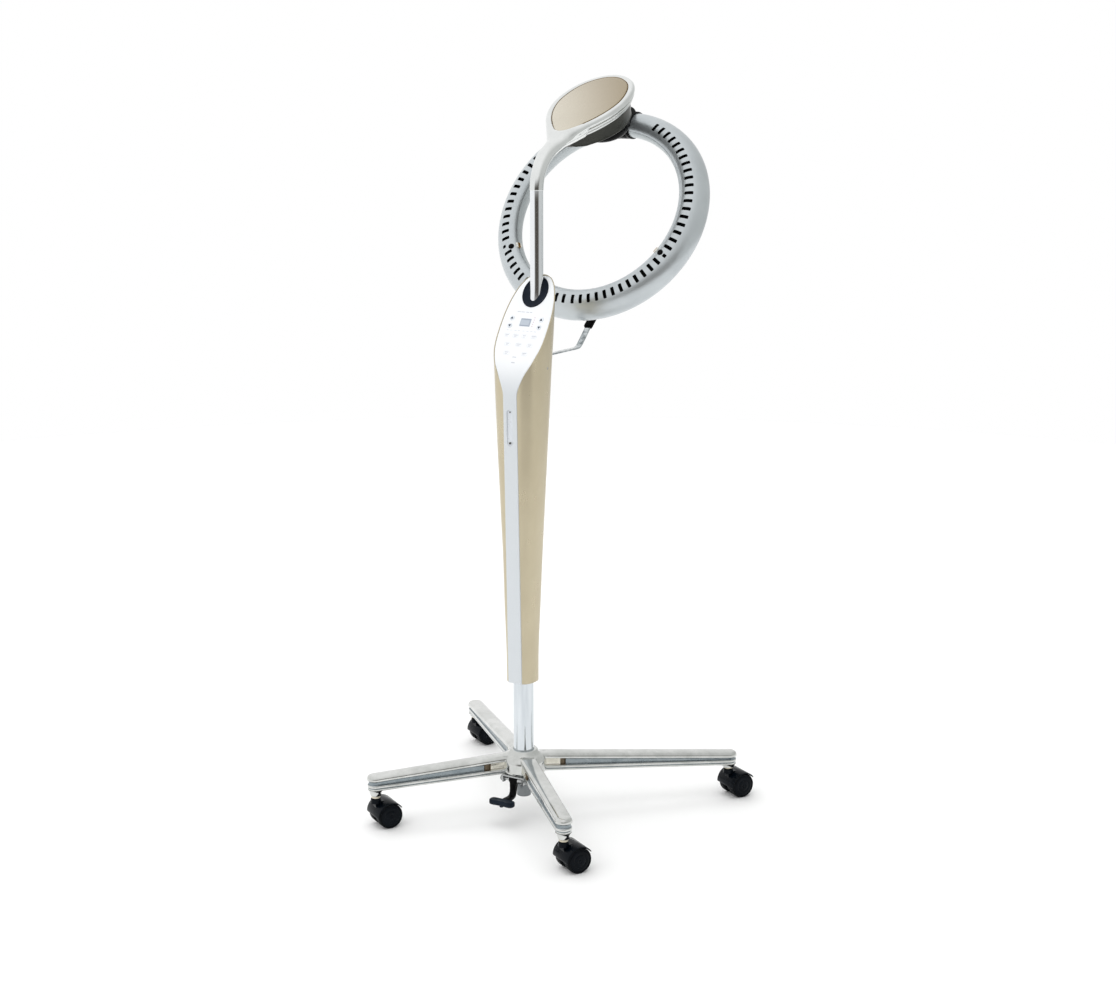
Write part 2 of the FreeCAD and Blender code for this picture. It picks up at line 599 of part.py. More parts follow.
arm_out = pipe(ARM_R, path, p_top, V(0, 0, -1))
arm_in = pipe(ARM_R - ARM_WALL, path, p_top, V(0, 0, -1))
if not arm_out.isValid() or arm_out.Volume < 1000:
    print("arm pipe problem", arm_out.Volume)
arm = arm_out.cut(arm_in)
put("arm_tube", one(arm))
sock = inner_body().common(box(-90, 90, 8, 110, 955, 1010)).cut(over_panel(-12.0, -200.0)).cut(arm_out)
sock = one(sock)
put("arm_socket", sock)
# grommet
def oval_at(a, b, s0, h, n=36):
    return ring_wire([(a * math.cos(2 * math.pi * i / n), s0 + b * math.sin(2 * math.pi * i / n), h) for i in range(n)])


gr = Part.Face(oval_at(GROM_A, GROM_B, GROM_S, 0.0)).extrude(V(0, 0, 1.3))
gr2 = Part.Face(oval_at(GROM_A - 1.5, GROM_B - 1.5, GROM_S, -FASCIA_T)).extrude(V(0, 0, FASCIA_T + 0.5))
gr3 = Part.makeLoft([oval_at(23.0, 25.0, GROM_S - 4.0, -FASCIA_T + 1.0), oval_at(19.0, 22.0, GROM_S - 5.0, -8.5)], True, True)
dish = Part.makeLoft([oval_at(GROM_A - 2.6, GROM_B - 2.6, GROM_S, 1.4), oval_at(GROM_A - 6.0, GROM_B - 6.0, GROM_S, -0.2)], True, True)
gr = gr.fuse([gr2, gr3]).cut(dish)
gr = place(gr, PANEL).cut(arm_out)
put("grommet", one(gr))
# control board behind the panel, display module, keys
board = place(box(-35, 35, -136, -62, -8.4, -6.8), PANEL)
put("control_board", board)
lcdm = place(box(LCD[0] - 13, LCD[0] + 13, -77.5, -54.5, -6.8, -FASCIA_T), PANEL)
lcdm = lcdm.fuse(place(box(LCD[0] - LCD[2] / 2 + 0.2, LCD[0] + LCD[2] / 2 - 0.2, LCD[1] - LCD[3] / 2 + 0.2, LCD[1] + LCD[3] / 2 - 0.2, -FASCIA_T, -1.4), PANEL))
put("lcd_module", one(lcdm))
win = place(box(LCD[0] - LCD[2] / 2, LCD[0] + LCD[2] / 2, LCD[1] - LCD[3] / 2, LCD[1] + LCD[3] / 2, -1.4, 0.1), PANEL)
put("display_window", win)
for k, (x, s) in KEYS.items():
    key = Part.makeCylinder(4.55, 3.4, V(x, s, -2.3), V(0, 0, 1)).fuse(Part.makeCylinder(2.2, 3.6, V(x, s, -5.7), V(0, 0, 1)))
    put(k, one(place(key, PANEL)))

# ------------------------------------------------------------------ head
inlay_pts = [(w, s) for s, w in INLAY] + [(-w, s) for s, w in reversed(INLAY[1:-1])]
base_curve = spline([(x, s, 0) for x, s in inlay_pts])
NPT = 56
samples = base_curve.toShape().discretize(NPT + 1)[:-1]


def offset_pts(d, h):
    n = len(samples)
    out = []
    for i, p in enumerate(samples):
        a, b = samples[(i - 1) % n], samples[(i + 1) % n]
        t = (b - a).normalize()
        out.append((p.x + t.y * d, p.y - t.x * d, -h))
    return out


def off_wire(d, h):
    return ring_wire(offset_pts(d, h))


def area_sign():
    s = 0
    n = len(samples)
    for i in range(n):
        a, b = samples[i], samples[(i + 1) % n]
        s += a.x * b.y - b.x * a.y
    return s


if area_sign() < 0:
    samples.reverse()


def level_loft(levels, ruled=True):
    return Part.makeLoft([off_wire(d, h) for h, d in levels], True, ruled)


RIM = [(0.2, 0.9), (-1.2, 4.0), (-1.4, 7.5), (0.2, 11.0), (3.6, 13.3), (7.6, 13.3), (9.8, 11.4), (10.6, 10.2),
       (14.6, 10.0), (17.0, 8.2), (17.8, 6.8), (21.0, 6.2), (23.4, 4.2), (24.6, 0.9)]
rim = level_loft(RIM)
# neck: arc and straight run, elliptical sections
NC = V(0, ARM_Y + NECK_R, ARM_TOP)


def neck_wire(pos, direction, hx, ht, n=32):
    d = vec(direction).normalize()
    side = V(1, 0, 0)
    nrm = d.cross(side)
    pts = []
    for i in range(n):
        t = 2 * math.pi * i / n
        p = pos + side * (hx * math.cos(t)) + nrm * (ht * math.sin(t))
        pts.append(p)
    return ring_wire(pts)


neck_secs = []
for ang, hx, ht in ((0.0, 12.5, 12.5), (12.0, 12.8, 12.5), (26.0, 13.6, 12.3), (40.0, 14.8, 12.1), (52.0, 16.0, 11.9), (64.0, 17.2, 11.7)):
    a = math.radians(ang)
    pos = V(0, NC.y - NECK_R * math.cos(a), NC.z + NECK_R * math.sin(a))
    neck_secs.append(neck_wire(pos, V(0, math.sin(a), math.cos(a)), hx, ht))
pe = V(0, NC.y - NECK_R * math.cos(NECK_TURN), NC.z + NECK_R * math.sin(NECK_TURN))
de = V(0, math.sin(NECK_TURN), math.cos(NECK_TURN))
for run, hx, ht in ((14.0, 18.6, 11.5), (30.0, 21.5, 11.2), (46.0, 27.0, 10.8), (60.0, 31.0, 10.2), (70.0, 32.0, 9.4)):
    neck_secs.append(neck_wire(pe + de * run, de, hx, ht))
neck = Part.makeLoft(neck_secs, True, False)
spigot = cyl(ARM_R - ARM_WALL, 32.0, (0, ARM_Y, ARM_TOP - 30.0))
RIM_W = place(rim, HEAD)
cast = RIM_W.fuse([neck, spigot])
recess = place(level_loft([(-6.0, 0.9), (3.4, 0.9)]), HEAD)
cavity = place(level_loft([(7.4, -4.0), (30.0, -4.0)]), HEAD)
cast = cast.cut([recess, cavity])
put("head_casting", one(cast))
plate = place(level_loft([(3.4, 0.0), (0.2, 0.0), (-0.9, -1.2)]), HEAD)
put("inlay_plate", plate)
trim = level_loft([(3.4, 0.9), (-0.5, 0.9)]).cut(level_loft([(5.0, 0.0), (-4.0, 0.0)]))
put("inlay_trim", one(place(trim, HEAD)))

HOUS = [(24.6, -0.2), (30.0, -0.6), (46.0, -2.6), (HOUSING_H - 1.5, -4.6), (HOUSING_H, -6.2)]
hous = level_loft(HOUS)
cutter = prism([(-100, -150, -24.0), (-100, -128, -24.0), (-100, -97, -44.5), (-100, -20, -56.0), (-100, 6, -62.0), (-100, 6, -90), (-100, -150, -90)], (200, 0, 0))
hous_out = hous.cut(cutter)
hin = level_loft([(20.0, -3.4), (30.0, -3.6), (HOUSING_H - 3.0, -7.6)])
cutter2 = prism([(-100, -150, -24.0), (-100, -122, -24.0), (-100, -95, -41.5), (-100, -20, -53.0), (-100, 6, -59.0), (-100, 6, -90), (-100, -150, -90)], (200, 0, 0))
hin = hin.cut(cutter2)
hous = hous_out.cut(hin)
AX0 = V(0, ORBIT_S, 0)
hous = hous.cut(Part.makeCylinder(13.0, 40, V(0, ORBIT_S, -80), V(0, 0, 1)))
# boss for the bearings
bossb = Part.makeCylinder(17.0, 12.0, V(0, ORBIT_S, -(HOUSING_H - 2.0)), V(0, 0, 1)).cut(
    Part.makeCylinder(13.0, 30, V(0, ORBIT_S, -(HOUSING_H + 2.0)), V(0, 0, 1)))
hous = hous.fuse(bossb)
put("lower_housing", one(place(hous, HEAD).cut(cast)))
bear = [tube(13.0, 6.05, 5.0, (0, ORBIT_S, -(HOUSING_H - 0.2)), (0, 0, 1)), tube(13.0, 6.05, 5.0, (0, ORBIT_S, -(HOUSING_H - 7.2)), (0, 0, 1))]
put("head_bearings", group([place(b, HEAD) for b in bear]))
motor = Part.makeCylinder(21.0, 29.0, V(0, ORBIT_S, -(HOUSING_H - 14.5)), V(0, 0, 1)).fuse(
    box(-30, 30, -30 + ORBIT_S - 8, ORBIT_S + 30, -(HOUSING_H - 14.5), -(HOUSING_H - 20.0)))
motor = motor.cut(Part.makeCylinder(6.3, 40, V(0, ORBIT_S, -60), V(0, 0, 1)))
put("gear_motor", one(place(motor, HEAD)))
shaft = Part.makeCylinder(6.0, 56.0, V(0, ORBIT_S, -84.0), V(0, 0, 1))
put("drive_shaft", place(shaft, HEAD))

# ------------------------------------------------------------------ ring
cs, ss = math.cos(RING_SKEW), math.sin(RING_SKEW)


def ell_face(a, b):
    e = Part.Ellipse(V(RING_R + a * cs, 0, -a * ss), V(RING_R + b * ss, 0, b * cs), V(RING_R, 0, 0))
    return Part.Face(Part.Wire([e.toShape()]))


def torus(a, b, angle=360, start=0):
    t = ell_face(a, b).revolve(V(0, 0, 0), V(0, 0, 1), angle)
    if start:
        t.rotate(V(0, 0, 0), V(0, 0, 1), start)
    return t


ring_out = torus(RING_A, RING_B)
ring_in = torus(RING_A - RING_WALL, RING_B - RING_WALL)
rear_out = torus(RING_A, RING_REAR_B)
rear_in = torus(RING_A - RING_WALL, RING_REAR_B - RING_WALL)
# parting surface: cone through the long axis of the section
far = 60.0
pf = [(RING_R - far * cs, 0, far * ss), (RING_R + far * cs, 0, -far * ss),
      (RING_R + far * cs + far * ss, 0, -far * ss + far * cs), (RING_R - far * cs + far * ss, 0, far * ss + far * cs)]
front_zone = revolve(pf)
front_solid = ring_out.common(front_zone)
rear_solid = rear_out.cut(front_zone)
ring_front = front_solid.cut(ring_in)
ring_rear = rear_solid.cut(rear_in)
slots = []
for side in (1, -1):
    for i in range(SLOT_COUNT):
        ang = SLOT_FIRST + SLOT_STEP * i
        r0, r1 = SLOT_R - SLOT_L / 2, SLOT_R + SLOT_L / 2
        if abs(ang - SENSOR_ANG) < 1:
            r0 = SLOT_R + 1.4
        b = box(r0, r1, -SLOT_W / 2, SLOT_W / 2, 12.0, 40.0)
        b.rotate(V(0, 0, 0), V(0, 0, 1), 90.0 + side * ang)
        slots.append(b)
sens = []
sens_holes = []
for ang in (SENSOR_ANG, 360.0 - SENSOR_ANG):
    h = cyl(SENSOR_R, 30, (192.6, 0, 10))
    h.rotate(V(0, 0, 0), V(0, 0, 1), 90.0 + ang)
    sens_holes.append(h)
    c = cyl(SENSOR_R, 16.0, (192.6, 0, 12.0))
    c.rotate(V(0, 0, 0), V(0, 0, 1), 90.0 + ang)
    sens.append(place(c, RING))
ring_front = ring_front.cut(slots + sens_holes)
put("ring_front_shell", one(place(ring_front, RING)))
put("ring_rear_shell", one(place(ring_rear, RING)))
put("ring_sensors", group(sens))
ra = RING_A - RING_WALL
refl = [(RING_R - (ra - 0.3) * cs, 0, (ra - 0.3) * ss), (RING_R + (ra - 0.3) * cs, 0, -(ra - 0.3) * ss)]
nx, nz = -ss, -cs
rp = [(refl[0][0] + nx * 0.6, 0, refl[0][2] + nz * 0.6), (refl[1][0] + nx * 0.6, 0, refl[1][2] + nz * 0.6),
      (refl[1][0] - nx * 0.6, 0, refl[1][2] - nz * 0.6), (refl[0][0] - nx * 0.6, 0, refl[0][2] - nz * 0.6)]
reflector = Part.Face(poly(rp)).revolve(V(0, 0, 0), V(0, 0, 1), 336)
reflector.rotate(V(0, 0, 0), V(0, 0, 1), 102)
put("reflector", place(reflector, RING))
hc = Part.Face(Part.Wire([Part.makeCircle(4.4, V(RING_R + nx * 5.0, 0, nz * 5.0), V(0, 1, 0))]))
heater = hc.revolve(V(0, 0, 0), V(0, 0, 1), 330)
heater.rotate(V(0, 0, 0), V(0, 0, 1), 105)
put("heater_element", place(heater, RING))

# carrier: rotor cup under the head, bridge, collar round the ring's top
rotor = revolve([(0, 0, -(HOUSING_H + 0.6)), (43.0, 0, -(HOUSING_H + 0.6)), (46.0, 0, -(HOUSING_H + 3.0)), (46.0, 0, -74.0), (42.5, 0, -86.0),
                 (36.0, 0, -92.0), (26.0, 0, -94.0), (0, 0, -94.0)])
rotor.translate(V(0, ORBIT_S, 0))
bridge = prism([(-23, ORBIT_S + 20, -62), (-23, ORBIT_S + 62, -64), (-23, ORBIT_S + 84, -78), (-23, ORBIT_S + 84, -112), (-23, ORBIT_S + 44, -100), (-23, ORBIT_S + 20, -90)], (46, 0, 0))
carrier = place(rotor.fuse(bridge), HEAD)
sleeve_o = torus(RING_A + 3.2, RING_B + 3.2, 10.0, 90.0 - 5.0)
carrier = carrier.fuse(place(sleeve_o, RING))
carrier = carrier.cut([place(front_solid, RING), place(rear_solid, RING), place(Part.makeCylinder(6.0, 60, V(0, ORBIT_S, -84), V(0, 0, 1)), HEAD)])
put("ring_carrier", one(carrier))

# screws that hold covers and bracket
put("cover_screws", group(seam_screws + bscrews))

# ------------------------------------------------------------------ write
for name, shape in PIECES.items():
    ok = shape.isValid()
    n = len(shape.Solids)
    bb = shape.BoundBox
    print("%-20s solids %d valid %s vol %10.1f  x %.1f..%.1f y %.1f..%.1f z %.1f..%.1f" % (
        name, n, ok, shape.Volume, bb.XMin, bb.XMax, bb.YMin, bb.YMax, bb.ZMin, bb.ZMax))
    shape.exportStep("parts/%s.step" % name)
print("pieces", len(PIECES))
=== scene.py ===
import bpy
import bmesh
import json
import math
import numpy as np
from mathutils import Matrix, Vector


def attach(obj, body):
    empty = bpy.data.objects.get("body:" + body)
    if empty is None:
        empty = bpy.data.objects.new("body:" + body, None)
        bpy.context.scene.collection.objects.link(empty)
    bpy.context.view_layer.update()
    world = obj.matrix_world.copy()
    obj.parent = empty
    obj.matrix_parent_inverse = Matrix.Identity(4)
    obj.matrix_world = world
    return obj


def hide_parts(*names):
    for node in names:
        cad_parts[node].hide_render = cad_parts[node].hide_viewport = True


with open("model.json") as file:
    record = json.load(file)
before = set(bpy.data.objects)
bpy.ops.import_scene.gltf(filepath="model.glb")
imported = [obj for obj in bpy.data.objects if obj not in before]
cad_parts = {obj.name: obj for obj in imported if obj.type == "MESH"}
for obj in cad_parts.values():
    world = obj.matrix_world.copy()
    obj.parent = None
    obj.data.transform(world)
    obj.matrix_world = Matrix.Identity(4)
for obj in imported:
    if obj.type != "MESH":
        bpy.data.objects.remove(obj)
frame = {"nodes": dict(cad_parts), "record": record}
NODES = frame["nodes"]
NODE_BODY = {n: b for b, ns in frame["record"]["behaviour"]["bodies"].items() for n in ns}
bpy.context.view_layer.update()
PI = math.pi

# ------------------------------------------------------------------ camera
cam_data = bpy.data.cameras.new("camera")
cam_data.sensor_fit = "HORIZONTAL"
cam_data.sensor_width = 36.0
cam_data.lens = 62.8
cam_data.clip_end = 200.0
cam = bpy.data.objects.new("camera", cam_data)
bpy.context.scene.collection.objects.link(cam)
cam.location = (1.911, -3.083, 1.451)
cam.rotation_euler = (math.radians(77.25), 0.0, math.radians(30.73))
bpy.context.scene.camera = cam

# ------------------------------------------------------------------ sizes, millimetres
SECTIONS = [(270, 28.9, 32.0, 24.0), (316, 28.9, 32.3, 24.0), (437, 32.9, 35.0, 28.4),
            (517, 34.6, 36.9, 35.0), (597, 38.4, 38.8, 38.3), (675, 42.2, 40.6, 41.4),
            (753, 45.8, 42.5, 45.2), (830, 48.6, 44.4, 50.0), (906, 51.2, 46.0, 55.4),
            (960, 53.0, 46.5, 61.0), (1020, 53.0, 47.0, 67.0), (1080, 52.5, 47.0, 71.5)]
SN = 2.6
PANEL_T = math.radians(34.0)
HEAD_T = math.radians(26.0)
RING_EL = math.radians(32.0)
SKEW = math.radians(41.0)
STEMS = {"fl": (-211.5, -204.2), "fr": (211.5, -204.2), "rl": (-304.3, 293.8), "rr": (304.3, 293.8)}
TRAIL = (10.3, 17.7)


def basis(o, ex, ey, ez):
    return Matrix(((ex[0], ey[0], ez[0], o[0]), (ex[1], ey[1], ez[1], o[1]), (ex[2], ey[2], ez[2], o[2]), (0, 0, 0, 1)))


ct, st = math.cos(PANEL_T), math.sin(PANEL_T)
PANEL = basis((0, 49.2, 1030.0), (1, 0, 0), (0, st, ct), (0, -ct, st))
ch, sh = math.cos(HEAD_T), math.sin(HEAD_T)
HEAD = basis((0, 254.0, 1380.0), (1, 0, 0), (0, ch, sh), (0, -sh, ch))
cr, sr = math.cos(RING_EL), math.sin(RING_EL)
RING = basis((0, 297.4, 1158.5), (1, 0, 0), (0, sr, cr), (0, -cr, sr))
IDENT = Matrix.Identity(4)


def smooth(x, a, b):
    t = min(max((x - a) / (b - a), 0.0), 1.0)
    return t * t * (3 - 2 * t)


def lerp(a, b, t):
    return a + (b - a) * t


# ------------------------------------------------------------------ mesh builder
class Geo:
    def __init__(self):
        self.v = []
        self.f = []
        self.m = []

    def verts(self, pts, M=None):
        base = len(self.v)
        for p in pts:
            q = Vector(p)
            self.v.append(M @ q if M is not None else q)
        return base

    def face(self, ids, mi=0):
        self.f.append(list(ids))
        self.m.append(mi)

    def loft(self, rings, M=None, mi=0, closed=True, caps=(False, False), wrap=False):
        """rings of equal length joined by quads; mi may be a function of ring and point"""
        n = len(rings[0])
        bases = [self.verts(r, M) for r in rings]
        pick = mi if callable(mi) else (lambda i, j: mi)
        pairs = [(i, i + 1) for i in range(len(rings) - 1)]
        if wrap:
            pairs.append((len(rings) - 1, 0))
        for i, i2 in pairs:
            a, b = bases[i], bases[i2]
            for j in range(n if closed else n - 1):
                k = (j + 1) % n
                self.face((a + j, a + k, b + k, b + j), pick(i, j))
        if caps[0]:
            self.face([bases[0] + j for j in range(n)][::-1], pick(0, 0))
        if caps[1]:
            self.face([bases[-1] + j for j in range(n)], pick(len(rings) - 1, 0))

    def revolve(self, prof, M=None, n=64, mi=0, a0=0.0, a1=2 * PI):
        """profile of (radius, height) turned round local z"""
        full = abs(a1 - a0 - 2 * PI) < 1e-6
        m = n if full else n + 1
        rings = []
        for j in range(m):
            a = a0 + (a1 - a0) * j / n
            c, s = math.cos(a), math.sin(a)
            rings.append([(r * c, r * s, z) for r, z in prof])
        pick = (lambda i, j: mi[min(j, len(mi) - 1)]) if isinstance(mi, (list, tuple)) else mi
        self.loft(rings, M, pick, closed=False, wrap=full)
        if not full:
            base = len(self.v) - m * len(prof)
            self.face([base + j for j in range(len(prof))], 0)
            self.face([len(self.v) - len(prof) + j for j in range(len(prof))][::-1], 0)

    def prism(self, pts, z0, z1, M=None, mi=0):
        n = len(pts)
        a = self.verts([(x, y, z0) for x, y in pts], M)
        b = self.verts([(x, y, z1) for x, y in pts], M)
        for j in range(n):
            k = (j + 1) % n
            self.face((a + j, a + k, b + k, b + j), mi)
        self.face([a + j for j in range(n)][::-1], mi)
        self.face([b + j for j in range(n)], mi)


def rrect(w, h, r, n=5, cx=0.0, cy=0.0):
    """rounded rectangle of half sizes w, h, counterclockwise"""
    pts = []
    for qx, qy, a0 in ((1, 1, 0), (-1, 1, 90), (-1, -1, 180), (1, -1, 270)):
        for i in range(n):
            a = math.radians(a0 + 90.0 * i / (n - 1))
            pts.append((cx + qx * (w - r) + r * math.cos(a), cy + qy * (h - r) + r * math.sin(a)))
    return pts


def make(name, geo, mats, body, replaces=(), sharp=32.0, bevel=None, weld=True, segs=2, flip=True):
    me = bpy.data.meshes.new(name)
    me.from_pydata([tuple(c * 0.001 for c in v) for v in geo.v], [], geo.f)
    for m in mats:
        me.materials.append(m)
    me.polygons.foreach_set("material_index", geo.m)
    bm = bmesh.new()
    bm.from_mesh(me)
    if weld:
        bmesh.ops.remove_doubles(bm, verts=bm.verts, dist=2e-6)
    bmesh.ops.dissolve_degenerate(bm, dist=1e-6, edges=bm.edges)
    loose = [v for v in bm.verts if not v.link_faces]
    bmesh.ops.delete(bm, geom=loose, context="VERTS")
    if flip:
        bmesh.ops.recalc_face_normals(bm, faces=bm.faces)
    for f in bm.faces:
        f.smooth = True
    if not bevel:
        lim = math.radians(sharp)
        for e in bm.edges:
            e.smooth = len(e.link_faces) == 2 and e.calc_face_angle(0.0) < lim
    bm.to_mesh(me)
    bm.free()
    o = bpy.data.objects.new(name, me)
    bpy.context.scene.collection.objects.link(o)
    if bevel:
        b = o.modifiers.new("bevel", "BEVEL")
        b.width = bevel * 0.001
        b.segments = segs
        b.limit_method = "ANGLE"
        b.angle_limit = math.radians(28)
        b.harden_normals = True
        b.use_clamp_overlap = True
    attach(o, NODE_BODY[replaces[0]] if replaces else body)
    if replaces:
        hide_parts(*replaces)
    return o


# ------------------------------------------------------------------ materials
def lin(c):
    out = []
    for v in c:
        v = v / 255.0
        out.append(v / 12.92 if v <= 0.04045 else ((v + 0.055) / 1.055) ** 2.4)
    return (out[0], out[1], out[2], 1.0)


MATS = {}


def finish(name, dark, light, rough=(0.3, 0.4), metallic=0.0, scale=40.0, stretch=(1, 1, 1), bump=0.0, bump_scale=600.0,
           coat=0.0, coat_rough=0.08, spec=0.5, fleck=0.0, fleck_scale=1800.0, sheen=0.0, aniso=0.0, transmission=0.0, detail=4.0,
           bump_stretch=None, grad=None, grad2=None):
    m = bpy.data.materials.new(name)
    m.use_nodes = True
    nt = m.node_tree
    nt.nodes.clear()
    new = nt.nodes.new
    out = new("ShaderNodeOutputMaterial")
    b = new("ShaderNodeBsdfPrincipled")
    nt.links.new(b.outputs["BSDF"], out.inputs["Surface"])
    b.inputs["Metallic"].default_value = metallic
    b.inputs["Specular IOR Level"].default_value = spec
    b.inputs["Coat Weight"].default_value = coat
    b.inputs["Coat Roughness"].default_value = coat_rough
    b.inputs["Sheen Weight"].default_value = sheen
    b.inputs["Anisotropic"].default_value = aniso
    b.inputs["Transmission Weight"].default_value = transmission
    tc = new("ShaderNodeTexCoord")
    mp = new("ShaderNodeMapping")
    mp.inputs["Scale"].default_value = stretch
    nt.links.new(tc.outputs["Object"], mp.inputs["Vector"])
    n1 = new("ShaderNodeTexNoise")
    n1.inputs["Scale"].default_value = scale
    n1.inputs["Detail"].default_value = detail
    n1.inputs["Roughness"].default_value = 0.6
    nt.links.new(mp.outputs["Vector"], n1.inputs["Vector"])
    ramp = new("ShaderNodeValToRGB")
    ramp.color_ramp.elements[0].position = 0.32
    ramp.color_ramp.elements[0].color = lin(dark)
    ramp.color_ramp.elements[1].position = 0.68
    ramp.color_ramp.elements[1].color = lin(light)
    nt.links.new(n1.outputs["Fac"], ramp.inputs["Fac"])
    colour = ramp.outputs["Color"]
    for axis, lo, hi, far_colour, source in [g_ for g_ in (grad, grad2) if g_]:
        gd = new("ShaderNodeVectorMath")
        gd.operation = "DOT_PRODUCT"
        gd.inputs[1].default_value = axis
        nt.links.new(tc.outputs[source], gd.inputs[0])
        gm = new("ShaderNodeMapRange")
        gm.interpolation_type = "SMOOTHSTEP"
        gm.inputs["From Min"].default_value = lo
        gm.inputs["From Max"].default_value = hi
        nt.links.new(gd.outputs["Value"], gm.inputs["Value"])
        gx = new("ShaderNodeMix")
        gx.data_type = "RGBA"
        nt.links.new(gm.outputs["Result"], gx.inputs["Factor"])
        nt.links.new(colour, gx.inputs["A"])
        gx.inputs["B"].default_value = lin(far_colour)
        colour = gx.outputs["Result"]
    if fleck > 0:
        vo = new("ShaderNodeTexVoronoi")
        vo.inputs["Scale"].default_value = fleck_scale
        nt.links.new(tc.outputs["Object"], vo.inputs["Vector"])
        bw = new("ShaderNodeRGBToBW")
        nt.links.new(vo.outputs["Color"], bw.inputs["Color"])
        mr = new("ShaderNodeMapRange")
        mr.inputs["From Min"].default_value = 0.2
        mr.inputs["From Max"].default_value = 0.8
        mr.inputs["To Min"].default_value = 1.0 - fleck
        mr.inputs["To Max"].default_value = 1.0 + fleck * 0.5
        nt.links.new(bw.outputs["Val"], mr.inputs["Value"])
        mx = new("ShaderNodeVectorMath")
        mx.operation = "SCALE"
        nt.links.new(colour, mx.inputs[0])
        nt.links.new(mr.outputs["Result"], mx.inputs["Scale"])
        colour = mx.outputs["Vector"]
    nt.links.new(colour, b.inputs["Base Color"])
    n2 = new("ShaderNodeTexNoise")
    n2.inputs["Scale"].default_value = scale * 2.7
    n2.inputs["Detail"].default_value = 5.0
    nt.links.new(mp.outputs["Vector"], n2.inputs["Vector"])
    mr2 = new("ShaderNodeMapRange")
    mr2.inputs["From Min"].default_value = 0.3
    mr2.inputs["From Max"].default_value = 0.7
    mr2.inputs["To Min"].default_value = rough[0]
    mr2.inputs["To Max"].default_value = rough[1]
    nt.links.new(n2.outputs["Fac"], mr2.inputs["Value"])
    nt.links.new(mr2.outputs["Result"], b.inputs["Roughness"])
    if bump > 0:
        mp3 = new("ShaderNodeMapping")
        mp3.inputs["Scale"].default_value = bump_stretch or stretch
        nt.links.new(tc.outputs["Object"], mp3.inputs["Vector"])
        n3 = new("ShaderNodeTexNoise")
        n3.inputs["Scale"].default_value = bump_scale
        n3.inputs["Detail"].default_value = 3.0
        nt.links.new(mp3.outputs["Vector"], n3.inputs["Vector"])
        bp = new("ShaderNodeBump")
        bp.inputs["Strength"].default_value = bump
        bp.inputs["Distance"].default_value = 0.0002
        nt.links.new(n3.outputs["Fac"], bp.inputs["Height"])
        nt.links.new(bp.outputs["Normal"], b.inputs["Normal"])
    MATS[name] = m
    return m


CHROME = finish("chrome", (226, 229, 232), (238, 241, 243), (0.07, 0.11), 1.0, 9.0, (3, 3, 0.6), 0.006, 160.0)
POLISHED = finish("polished_alloy", (190, 192, 189), (215, 216, 214), (0.09, 0.16), 1.0, 22.0, (1, 1, 1), 0.02, 210.0)
SATIN = finish("satin_silver", (218, 220, 219), (228, 230, 229), (0.08, 0.12), 1.0, 22.0, (1, 1, 1), 0.0, 500.0, coat=0.1, coat_rough=0.06)
RINGP = finish("ring_silver_paint", (188, 194, 197), (197, 203, 206), (0.28, 0.35), 0.72, 16.0, (1, 1, 1), 0.0, 900.0, coat=0.08, coat_rough=0.2)
RINGR = finish("ring_rear_paint", (182, 188, 190), (191, 197, 199), (0.3, 0.38), 0.7, 16.0, (1, 1, 1), 0.0, 900.0, coat=0.06, coat_rough=0.2)
CHAMP = finish("champagne_paint", (190, 179, 153), (198, 188, 162), (0.26, 0.34), 0.85, 12.0, (1, 1, 0.5), 0.0, 900.0, coat=0.06, coat_rough=0.15)
# painted shade: the inlay's colour darkens from one end of the plate to the other along a fixed direction
INLAYM = finish("champagne_inlay", (207, 200, 184), (213, 206, 190), (0.2, 0.24), 0.75, 9.0, (1, 1, 1), 0.0, 500.0, coat=0.2, coat_rough=0.08,
                grad=((0.42, 0.58, 0.0), 0.1, 1.0, (150, 134, 104), "Generated"))
GOLD = finish("gold_edge", (112, 86, 44), (140, 112, 64), (0.25, 0.35), 0.8, 30.0, (1, 1, 1), 0.04, 600.0)
# painted shade: the fascia is painted grey below the bend and white above it
FASCIA = finish("fascia_white_painted_shade", (243, 246, 249), (248, 250, 252), (0.28, 0.36), 0.1, 10.0, (1, 1, 0.5), 0.02, 1300.0, coat=0.25, coat_rough=0.1, fleck=0.01,
                grad=((0.0, 0.0, -1.0), -0.915, -0.835, (214, 219, 223), "Object"))
CHARC = finish("charcoal_plastic", (47, 48, 43), (56, 57, 51), (0.25, 0.34), 0.2, 18.0, (1, 1, 1), 0.03, 1100.0, coat=0.05, coat_rough=0.2, spec=0.3)
BLACKP = finish("black_plastic", (7, 7, 8), (12, 12, 13), (0.22, 0.32), 0.0, 24.0, (1, 1, 1), 0.05, 1100.0, coat=0.01, coat_rough=0.2, spec=0.05)
SLEEVE = finish("sleeve_rubber", (3, 3, 4), (6, 6, 7), (0.4, 0.5), 0.0, 40.0, (1, 1, 1), 0.1, 1200.0, spec=0.03)
STRAPM = finish("bracket_plating", (128, 134, 137), (214, 219, 221), (0.1, 0.25), 1.0, 85.0, (1, 1, 1), 0.06, 300.0)
# painted shade: the channels of the base casting are given a darker blue-grey
CHANNEL_SHADE = finish("cast_channel_painted_shade", (126, 136, 141), (150, 158, 162), (0.18, 0.3), 1.0, 40.0, (1, 1, 1), 0.05, 400.0)
